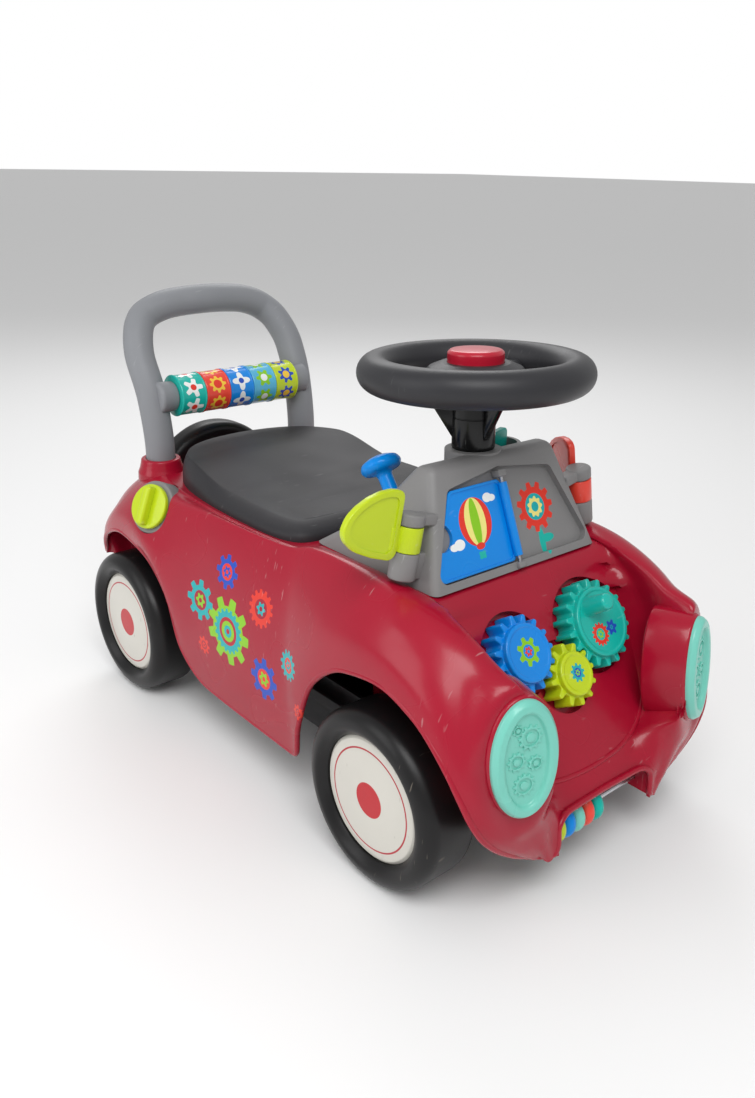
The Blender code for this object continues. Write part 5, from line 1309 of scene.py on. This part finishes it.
# ---------------------------------------------------------------- mirrors, lever and key
def make_mirror(side, name, look, body, fold):
    at = mirror_frame(side)
    near, reach, low, tall = 0.0127, 0.058, 0.0165, 0.058
    shape = [
        (0.0, 0.08), (0.10, 0.0), (0.45, 0.06), (0.75, 0.15), (0.95, 0.30), (1.0, 0.44),
        (0.93, 0.63), (0.80, 0.76), (0.62, 0.88), (0.42, 0.96), (0.22, 1.0), (0.0, 0.98),
    ]
    outline = [(side * (near + reach * u), low + tall * v) for u, v in shape]
    if side < 0:
        outline.reverse()
    outline = softened(outline, 0.020, 4, True)
    middle = Vector((side * (near + 0.45 * reach), low + 0.52 * tall))
    field = [tuple(middle + (Vector(point) - middle) * 0.80) for point in outline]
    bm = slab(outline, -0.0030, 0.0030)
    soften_edges(bm, 0.0010, 60, 3)
    steps = []
    for low_face, high_face in ((-0.006, -0.0018), (0.0018, 0.006)):
        steps.append(cut_by(slab(field, low_face, high_face)))
    bm = carved(bm, steps)
    turn = Matrix.Rotation(fold, 4, "Z")
    bm.transform(turn @ about("X"))
    steps = [joined_with(rod(0.0115, 0.0235, 0.0445, 56, 0.0006))]
    neck = block((near + 0.008, 0.0050, 0.0200), (side * (near + 0.008) / 2, 0, 0.034), 0.0010)
    steps.append(joined_with(neck, turn))
    steps.append(cut_by(rod(pin_bore, 0.0, 0.055, 24)))
    show(name, moved(carved(bm, steps), at), look, body, [name], 30)


make_mirror(-1, "mirror_right", "lime", "right_mirror", 0.0)
make_mirror(1, "mirror_left", "coral", "left_mirror", math.radians(62))


def make_lever():
    top, foot, radius = 0.0595, 0.0445, 0.0190
    knob = softened(
        [
            (0.0, top), (radius * 0.50, top - 0.0008), (radius * 0.86, top - 0.0036), (radius, top - 0.0090),
            (radius * 0.84, foot + 0.0012), (0.0085, foot), (0.0065, foot - 0.003), (0.0065, 0.0), (0.0, 0.0),
        ],
        0.0045, 5,
    )
    steps = [
        joined_with(rod(0.008, -0.009, 0.009, 40, 0.0006), about("Y")),
        cut_by(rod(pin_bore, -0.018, 0.018, 24), about("Y")),
    ]
    bm = carved(lathe(knob, 80), steps)
    show("shift_lever", moved(bm, lever_frame), "blue", "lever", ["shift_lever"], 40)


make_lever()


def make_key():
    outline = softened([(-0.015, 0.003), (0.015, 0.003), (0.015, 0.027), (-0.015, 0.027)], 0.006, 6, True)
    bow = moved(slab(outline, -0.003, 0.003, 0.0009, 3), about("X"))
    steps = [
        joined_with(rod(0.0045, -0.029, 0.007, 32, 0.0004)),
        joined_with(rod(0.0088, gap, 0.004, 40, 0.0008)),
    ]
    show("ignition_key", moved(carved(bow, steps), key_frame), "teal", "key", ["ignition_key"], 30)


make_key()


# ---------------------------------------------------------------- gears
def gear_outline(teeth):
    pitch = teeth * gear_module / 2
    outer, root = pitch + gear_addendum, pitch - gear_dedendum
    step = 2 * math.pi / teeth
    points = []
    for k in range(teeth):
        for radius, part in ((root, -0.30), (outer, -0.145), (outer, 0.145), (root, 0.30)):
            angle = (k + part) * step
            points.append((radius * math.cos(angle), radius * math.sin(angle)))
    return softened(points, 0.0021, 4, True)


def gear_turn(name):
    """The turn at which a gear's gap meets a tooth of the lime one."""
    here = Vector(gear_places["lime"])
    if name == "lime":
        return 0.0
    toward = Vector(gear_places[name]) - here
    out = math.atan2(toward.y, toward.x)
    phase = (out / (2 * math.pi / gear_teeth["lime"])) % 1.0
    return out + math.pi + (phase + 0.5) * 2 * math.pi / gear_teeth[name]


def make_gear(name, body):
    teeth = gear_teeth[name]
    at = panel_frame @ axes_at((*gear_places[name], 0), (0, 0, gear_turn(name)))
    back, ring_top, face = -0.0077, 0.0125, 0.0175
    bm = slab(gear_outline(teeth), back, ring_top, 0.0013, 3)
    radius = teeth * gear_module / 2 - gear_dedendum - 0.001
    disc = softened(
        [
            (0.0, back + 0.001), (radius, back + 0.001), (radius, face - 0.0002), (radius - 0.0030, face),
            (radius - 0.0045, face - 0.0009), (0.0, face - 0.0009),
        ],
        0.0022, 5,
    )
    steps = [joined_with(lathe(disc, 96))]
    if name == "teal":
        turn = math.radians(125.0) - gear_turn(name)
        knob = softened(
            [
                (0.0, face - 0.003), (0.0098, face - 0.003), (0.0086, face + 0.0010),
                (0.0072, face + 0.024), (0.0, face + 0.024),
            ],
            0.0030, 5,
        )
        place = shift(0.020 * math.cos(turn), 0.020 * math.sin(turn))
        steps.append(joined_with(lathe(knob, 56), place))
    steps.append(cut_by(rod(0.0063, back - 0.010, 0.0083, 32)))
    show("gear_" + name, moved(carved(bm, steps), at), name + "_gear", body, ["gear_" + name], 32)


make_gear("blue", "blue_gear")
make_gear("teal", "teal_gear")
make_gear("lime", "lime_gear")


# ---------------------------------------------------------------- headlights and beads
# Each cog: x, y, teeth, radius
lamp_cogs = [
    (-0.0010, -0.0205, 12, 0.0096), (0.0035, 0.0180, 12, 0.0105), (-0.0080, 0.0000, 10, 0.0080),
    (0.0085, -0.0040, 9, 0.0066), (-0.0075, 0.0255, 7, 0.0048),
]


def small_cog(teeth, radius):
    points = []
    for k in range(teeth):
        for share, part in ((0.80, -0.29), (1.0, -0.16), (1.0, 0.16), (0.80, 0.29)):
            angle = (k + part) * 2 * math.pi / teeth
            points.append((share * radius * math.cos(angle), share * radius * math.sin(angle)))
    return points


def make_headlight(side, name):
    back, front = -0.018, 0.012
    dish = front - 0.0052
    profile = softened(
        [
            (0.0, back), (0.0478, back), (lamp_half_height, -0.012), (lamp_half_height, front - 0.0045),
            (0.0455, front - 0.0004), (0.0405, front), (0.0385, front - 0.0012), (0.0372, front - 0.0040),
            (0.0, dish),
        ],
        0.0026, 5,
    )
    steps = []
    for x, y, teeth, radius in lamp_cogs:
        cog = slab(small_cog(teeth, radius), dish - 0.002, dish + 0.0019, 0.0004, 2)
        steps.append(joined_with(cog, shift(x, y)))
        steps.append(cut_by(rod(radius * 0.66, dish + 0.0006, dish + 0.010, 32), shift(x, y)))
        steps.append(joined_with(rod(radius * 0.36, dish - 0.001, dish + 0.0019, 24, 0.0003), shift(x, y)))
    bm = carved(lamp_oval(profile), steps)
    show(name, moved(bm, headlight_frame(side)), "mint", "car", [name], 32)


make_headlight(-1, "headlight_right")
make_headlight(1, "headlight_left")


def make_beads():
    start = -0.062 + 0.006 + 0.006
    for k, look in enumerate(("lime", "blue", "mint", "coral", "teal")):
        turns = [math.radians(degrees) for degrees in range(-112, 113, 14)]
        ring = [(0.0095 + 0.0060 * math.cos(a), 0.0060 * math.sin(a)) for a in turns]
        profile = ring + [(0.0042, 0.0040), (0.0040, 0.0), (0.0042, -0.0040)]
        bm = moved(lathe(profile, 64, True), across((start + k * 0.0124, bead_bar_y, bead_bar_z)))
        name = f"bead_{k + 1}"
        show(name, bm, look, name + "_body", [name], 60)


make_beads()


# ---------------------------------------------------------------- push handle, rollers and dial
handle_line = [
    (handle_foot_x, roller_y, 0.216),
    (handle_foot_x, roller_y, 0.262),
    (0.098, roller_y + 0.009, roller_z - 0.003),
    (0.0995, roller_y + 0.0265, roller_z + 0.036),
    (0.0915, roller_y + 0.044, roller_z + 0.066),
    (0.0735, roller_y + 0.055, roller_z + 0.083),
    (0.042, roller_y + 0.0555, roller_z + 0.092),
    (0.0, roller_y + 0.052, roller_z + 0.0945),
]
rod_bore = 0.0063
stub_face_x = (5 * roller_length + 4 * 0.0005) / 2 + 0.0005


def make_handle():
    whole = handle_line + [(-x, y, z) for x, y, z in reversed(handle_line[:-1])]
    bm = bar_along(smooth_path(whole, 110), handle_radius, 8)
    steps = []
    for side in (-1, 1):
        reach = handle_foot_x + 0.002 - stub_face_x
        stub = softened(
            [
                (0.0, -reach), (0.0185, -reach), (0.0170, -reach * 0.55), (0.0160, -0.0008),
                (0.0154, 0.0), (0.0, 0.0),
            ],
            0.004, 4,
        )
        at = shift(side * stub_face_x, roller_y, roller_z) @ Matrix.Rotation(-side * quarter_turn, 4, "Y")
        steps.append(joined_with(lathe(stub, 72), at))
    rod_seat = rod(rod_bore, -stub_face_x - 0.0103, stub_face_x + 0.0103, 40)
    steps.append(cut_by(rod_seat, across((0, roller_y, roller_z))))
    show("push_handle", carved(bm, steps), "handle", "car", ["push_handle"], 40)


make_handle()

roller_looks = [
    ("teal", teal, [Print(0, 0, 0.0088, white, 5, 0.30, 1.6), Print(0, 0, 0.0036, print_coral)]),
    ("coral", coral, [Print(0, 0, 0.0090, warm_yellow, 8, 0.16, 1.5), Print(0, 0, 0.0052, print_coral)]),
    ("blue", blue, [Print(0, 0, 0.0086, white, 4, 0.34, 1.0), Print(0, 0, 0.0034, print_blue)]),
    ("sky", sky, [Print(0, 0, 0.0088, print_lime, 6, 0.22, 1.4), Print(0, 0, 0.0044, white)]),
    ("lime", lime, [Print(0, 0, 0.0086, print_blue, 7, 0.22, 1.4), Print(0, 0, 0.0046, warm_yellow)]),
]


def make_rollers():
    half = roller_length / 2
    wide, narrow, chamfered = roller_radius, roller_radius - 0.0007, roller_radius - 0.0004
    side_of_roller = [
        (rod_bore, half), (chamfered, half), (wide, half - 0.0008), (wide, half - 0.0016),
        (narrow, half - 0.0020),
    ]
    outline = [(r, -h) for r, h in side_of_roller] + side_of_roller[::-1]
    profile = softened(outline, 0.0004, 3, True)
    for k, (colour, base, kinds) in enumerate(roller_looks):
        x = (k - 2) * roller_pitch
        look = roller_print(colour, base, x, kinds)
        name = f"roller_{k + 1}"
        bm = moved(lathe(profile, 96, True), across((x, roller_y, roller_z)))
        show(name, bm, look, name + "_body", [name], 40)


make_rollers()


def make_dial():
    base = softened([(0.0083, 0.006), (0.028, 0.006), (0.028, -0.014), (0.0083, -0.014)], 0.0016, 4, True)
    bm = moved(lathe(base, 80, True), dial_frame)
    show("dial_base", bm, "cowl", "car", ["dial_base"], 40)
    low, top, head = 0.0063, 0.0123, -0.0143
    profile = softened(
        [
            (0.0, top), (0.0235, top), (0.0235, low), (0.008, low), (0.008, head), (0.0096, head),
            (0.0096, head - 0.003), (0.0, head - 0.003),
        ],
        0.0015, 4,
    )
    grip = block((0.041, 0.010, 0.011), (0, 0, top + 0.0035), 0.003, 5)
    bm = carved(lathe(profile, 80), [joined_with(grip)])
    show("fuel_dial", moved(bm, dial_frame), "lime", "dial", ["fuel_dial"], 32)


make_dial()


# ---------------------------------------------------------------- seat
seat_front_y = -0.0360
seat_rear_y = 0.2450
seat_foot = deck_z + gap
seat_half_outline = [
    (0.0, seat_front_y), (0.060, seat_front_y), (0.085, -0.0350), (0.100, -0.0330), (0.110, -0.0280),
    (0.1165, -0.0180), (0.1205, -0.0020), (0.1225, 0.022), (0.1225, 0.056), (0.1215, 0.090), (0.1190, 0.124),
    (0.1140, 0.157), (0.1060, 0.186), (0.0940, 0.208), (0.0760, 0.226), (0.0530, 0.2375), (0.0270, 0.2435),
    (0.0, seat_rear_y),
]


def seat_rise(y):
    """How far the seat has risen toward its rear rim, from 0 to 1 between the two places."""
    return (y - 0.090) / 0.095


def seat_top(y):
    return seat_foot + 0.0150 + 0.0150 * smoothed(seat_rise(y))


def seat_slope(y):
    return 0.020 * (1 - 0.65 * clamped(seat_rise(y)))


def make_seat():
    count = 72
    last = len(seat_half_outline) - 1
    line = [point_along(seat_half_outline, last * k / count) for k in range(count + 1)]
    outs = []
    for i in range(count + 1):
        run = (line[min(i + 1, count)] - line[max(i - 1, 0)]).normalized()
        out = Vector((run.y, -run.x))
        outs.append(Vector((0.0, -1.0)) if i == 0 else Vector((0.0, 1.0)) if i == count else out)
    rings = [
        (0.0, 0.0), (0.0, 0.20), (0.03, 0.38), (0.10, 0.52), (0.30, 0.70), (0.60, 0.88), (0.84, 0.985),
        (0.93, 1.0), (1.0, 1.0),
    ]

    def drop(y):
        """The pan steps up twice toward the rear."""
        return sum(0.0026 * (1 - clamped((y - at) / 0.005)) for at in (0.030, 0.078))

    def loop(bm, lean, wall, level):
        right = []
        for (x, y), out in zip(line, outs):
            inset = lean * seat_slope(y) + wall
            z = seat_foot + (seat_top(y) - seat_foot) * level - wall * (1.0 if level == 1.0 else level)
            right.append((max(x - out.x * inset, 0.0), y - out.y * inset, z))
        right[0] = (0.0, *right[0][1:])
        right[-1] = (0.0, *right[-1][1:])
        left = [(-x, y, z) for x, y, z in reversed(right[1:-1])]
        return [bm.verts.new(place) for place in right + left]

    def join(bm, a, b):
        pairs = [(p[k], p[(k + 1) % len(p)]) for p in (a, b) for k in range(len(p))]
        edges = [bm.edges.get(pair) or bm.edges.new(pair) for pair in pairs]
        bmesh.ops.bridge_loops(bm, edges=edges)

    def close(bm, ring, rise):
        half = len(ring) // 2
        shares = (0.92, 0.8, 0.6, 0.4, 0.2, 0.0, -0.2, -0.4, -0.6, -0.8, -0.92)
        rows = []
        for i in range(1, half):
            right, left = ring[i], ring[-i]
            lift = min(1.0, 5.0 * i / half, 5.0 * (half - i) / half)
            middle = []
            for share in shares:
                height = right.co.z + rise * lift * (1 - share * share)
                if abs(share) < 0.9 and rise:
                    height -= drop(right.co.y) * clamped((right.co.y + 0.020) / 0.008)
                middle.append(bm.verts.new((right.co.x * share, right.co.y, height)))
            rows.append([right] + middle + [left])
        for a, b in zip(rows, rows[1:]):
            for k in range(len(a) - 1):
                bm.faces.new((a[k], b[k], b[k + 1], a[k + 1]))
        for tip, row in ((ring[0], rows[0]), (ring[half], rows[-1])):
            for k in range(len(row) - 1):
                bm.faces.new((tip, row[k], row[k + 1]))

    bm = bmesh.new()
    outer = [loop(bm, lean, 0.0, level) for lean, level in rings]
    inner = [loop(bm, lean, 0.003, level) for lean, level in rings]
    for skin in (outer, inner):
        for a, b in zip(skin, skin[1:]):
            join(bm, a, b)
        close(bm, skin[-1], 0.003)
    join(bm, inner[0], outer[0])
    bmesh.ops.recalc_face_normals(bm, faces=bm.faces)
    steps = []
    for side in (-1, 1):
        x = side * 0.0293
        ear = block((0.0058, 0.0070, 0.0074), (x, seat_pin_y - 0.0035, seat_pin_z), 0.0003, 2)
        steps.append(joined_with(ear))
        knuckle = rod(0.0038, -0.003, 0.003, 28, 0.0004)
        steps.append(joined_with(knuckle, across((x, seat_pin_y, seat_pin_z))))
    bore = rod(seat_pin_bore, -0.0308, 0.0308, 24)
    steps.append(cut_by(bore, across((0, seat_pin_y, seat_pin_z))))
    show("seat", carved(bm, steps), "seat", "seat_lid", ["seat"], 40)


make_seat()


# ---------------------------------------------------------------- wheels and spare
def hub_look(at):
    """Cream plastic with a red ring and disc printed on the outer face of the hub at a frame."""
    return plastic(
        "printed_hub", cream, 0.34, scuffs=0.5, coat=0.3, clouding=0.05,
        sheets=[(at, 0.045, cap_prints)], scuff_colour=shown_colour(120, 112, 100),
    )


def make_wheels():
    edge = wheel_radius - tyre_shoulder
    wheel = (
        [
            (0.0053, -0.001), (0.0053, 0.040), (0.0563, 0.040), (0.0563, 0.0500), (0.0590, 0.0538),
            (0.0625, 0.0562),
        ]
        + arc((edge, tyre_width - tyre_shoulder), tyre_shoulder, 96, 0, 12)
        + arc((edge, tyre_shoulder), tyre_shoulder, 0, -90, 8)
        + [
            (0.0615, 0.0), (0.075, tyre_shoulder), (0.075, web_inner), (hub_radius, web_inner),
            (hub_radius, -0.001),
        ]
    )
    face = hubcap_face
    cap = softened(
        [
            (0.0, face), (0.0150, face), (0.0455, face - 0.0006), (0.0530, face - 0.0012),
            (0.056, face - 0.0034), (0.056, face - 0.005), (0.054, face - 0.005), (0.054, web_outer + gap),
            (0.052, web_outer + gap), (0.052, face - 0.005), (0.0, face - 0.005),
        ],
        0.0008, 3,
    )
    for end, axle_y in (("front", front_axle_y), ("rear", rear_axle_y)):
        for side, word in ((-1, "right"), (1, "left")):
            at = wheel_frame(side, axle_y)
            body = f"{end}_{word}_wheel"
            name = f"wheel_{end}_{word}"
            show(name, moved(lathe(wheel, 120, True), at), "tyre", body, [name], 30)
            name = f"hubcap_{end}_{word}"
            show(name, moved(lathe(cap, 96), at), hub_look(at), body, [name], 40)


make_wheels()


def make_spare():
    low, high, shoulder, radius = 0.0045, 0.037, 0.011, 0.085
    edge = radius - shoulder
    profile = (
        [(0.050, low)] + arc((edge, low + shoulder), shoulder, -90, 0, 8)
        + arc((edge, high - shoulder), shoulder, 0, 90, 8)
        + [(0.0585, high - 0.0006), (0.0545, high - 0.0020), (0.0535, high - 0.0045), (0.050, high - 0.0045)]
    )
    bm = lathe(profile, 120, True)
    show("spare_tyre", moved(bm, spare_frame), "tyre", "car", ["spare_tyre"], 30)
    hub = softened(
        [
            (0.0, -0.008), (0.014, -0.008), (0.014, gap), (0.060, gap), (0.060, low - gap),
            (0.0497, low - gap), (0.0497, high - 0.0042), (0.0532, high - 0.0042), (0.0532, high - 0.0015),
            (0.0515, high - 0.0006), (0.0170, high - 0.0012), (0.0150, high), (0.0, high),
        ],
        0.0006, 3,
    )
    look = hub_look(spare_frame @ shift(0, 0, -0.010))
    show("spare_hub", moved(lathe(hub, 96), spare_frame), look, "car", ["spare_hub"], 40)


make_spare()


# ---------------------------------------------------------------- what the solids themselves show
def show_solid(node):
    """A CAD node's own triangles as one connected mesh."""
    bm = bmesh.new()
    bm.from_mesh(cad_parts[node].data)
    bmesh.ops.remove_doubles(bm, verts=bm.verts, dist=0.00001)
    bmesh.ops.dissolve_limit(
        bm, angle_limit=math.radians(1.0), verts=bm.verts, edges=bm.edges, use_dissolve_boundaries=False
    )
    bm.transform(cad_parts[node].matrix_world)
    show(node, bm, "black_and_painted_shade", "car", [node], 40)


# The chassis and storage bin are made charcoal black; inside the wheel arches the black also serves as
# painted shade.
show_solid("chassis")
show_solid("storage_bin")
plain_nodes = (
    [f"body_screw_{k}" for k in (1, 2, 3, 4)]
    + [f"{end}_axle" for end in ("front", "rear")]
    + [f"push_nut_{end}_{word}" for end in ("front", "rear") for word in ("right", "left")]
    + ["column_clip", "horn_spring", "door_pin", "mirror_right_pin", "mirror_left_pin", "lever_pin"]
    + ["roller_rod", "bead_bar", "seat_pin"]
)
for name in plain_nodes:
    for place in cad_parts[name].material_slots:
        place.material = finish["steel"]

# ---------------------------------------------------------------- floor, light and camera
floor_mesh = bmesh.new()
bmesh.ops.create_grid(floor_mesh, x_segments=1, y_segments=1, size=40.0)
floor = bpy.data.objects.new("floor", as_mesh("floor", floor_mesh))
floor_look = bpy.data.materials.new("pale_floor")
floor_look.use_nodes = True
floor_look.node_tree.nodes["Principled BSDF"].inputs["Base Color"].default_value = (0.90, 0.90, 0.90, 1.0)
floor_look.node_tree.nodes["Principled BSDF"].inputs["Roughness"].default_value = 0.6
floor.data.materials.append(floor_look)
scene.collection.objects.link(floor)

world = bpy.data.worlds.new("studio")
scene.world = world
world.use_nodes = True
backdrop = world.node_tree.nodes["Background"]
backdrop.inputs["Color"].default_value = (1.0, 1.0, 1.0, 1.0)
seen = put(world.node_tree, "ShaderNodeLightPath").outputs["Is Camera Ray"]
strength = maths(world.node_tree, "ADD", maths(world.node_tree, "MULTIPLY", seen, 0.45), 0.55)
world.node_tree.links.new(strength, backdrop.inputs["Strength"])


def soft_light(name, place, target, size, power):
    light = bpy.data.lights.new(name, "AREA")
    light.shape = "RECTANGLE"
    light.size, light.size_y = size
    light.energy = power
    item = bpy.data.objects.new(name, light)
    item.location = place
    aim = Vector(target) - Vector(place)
    item.rotation_euler = aim.to_track_quat("-Z", "Y").to_euler()
    scene.collection.objects.link(item)


soft_light("key_light", (-0.9, -1.1, 1.9), (0, 0, 0.15), (1.4, 1.0), 27.0)
soft_light("side_light", (-1.8, 0.5, 1.0), (0, 0, 0.15), (1.0, 1.4), 9.0)
soft_light("back_light", (1.0, 1.4, 1.6), (0, 0, 0.2), (1.2, 1.0), 12.0)

lens = bpy.data.cameras.new("camera")
lens.sensor_fit = "VERTICAL"
lens.sensor_height = film_height
lens.lens = camera_focal_px / photo_height_px * film_height
lens.clip_start = 0.01
camera = bpy.data.objects.new("camera", lens)
back = camera_right.cross(camera_up)
camera.matrix_world = axes_from(camera_place, camera_right, camera_up, back)
scene.collection.objects.link(camera)
scene.camera = camera
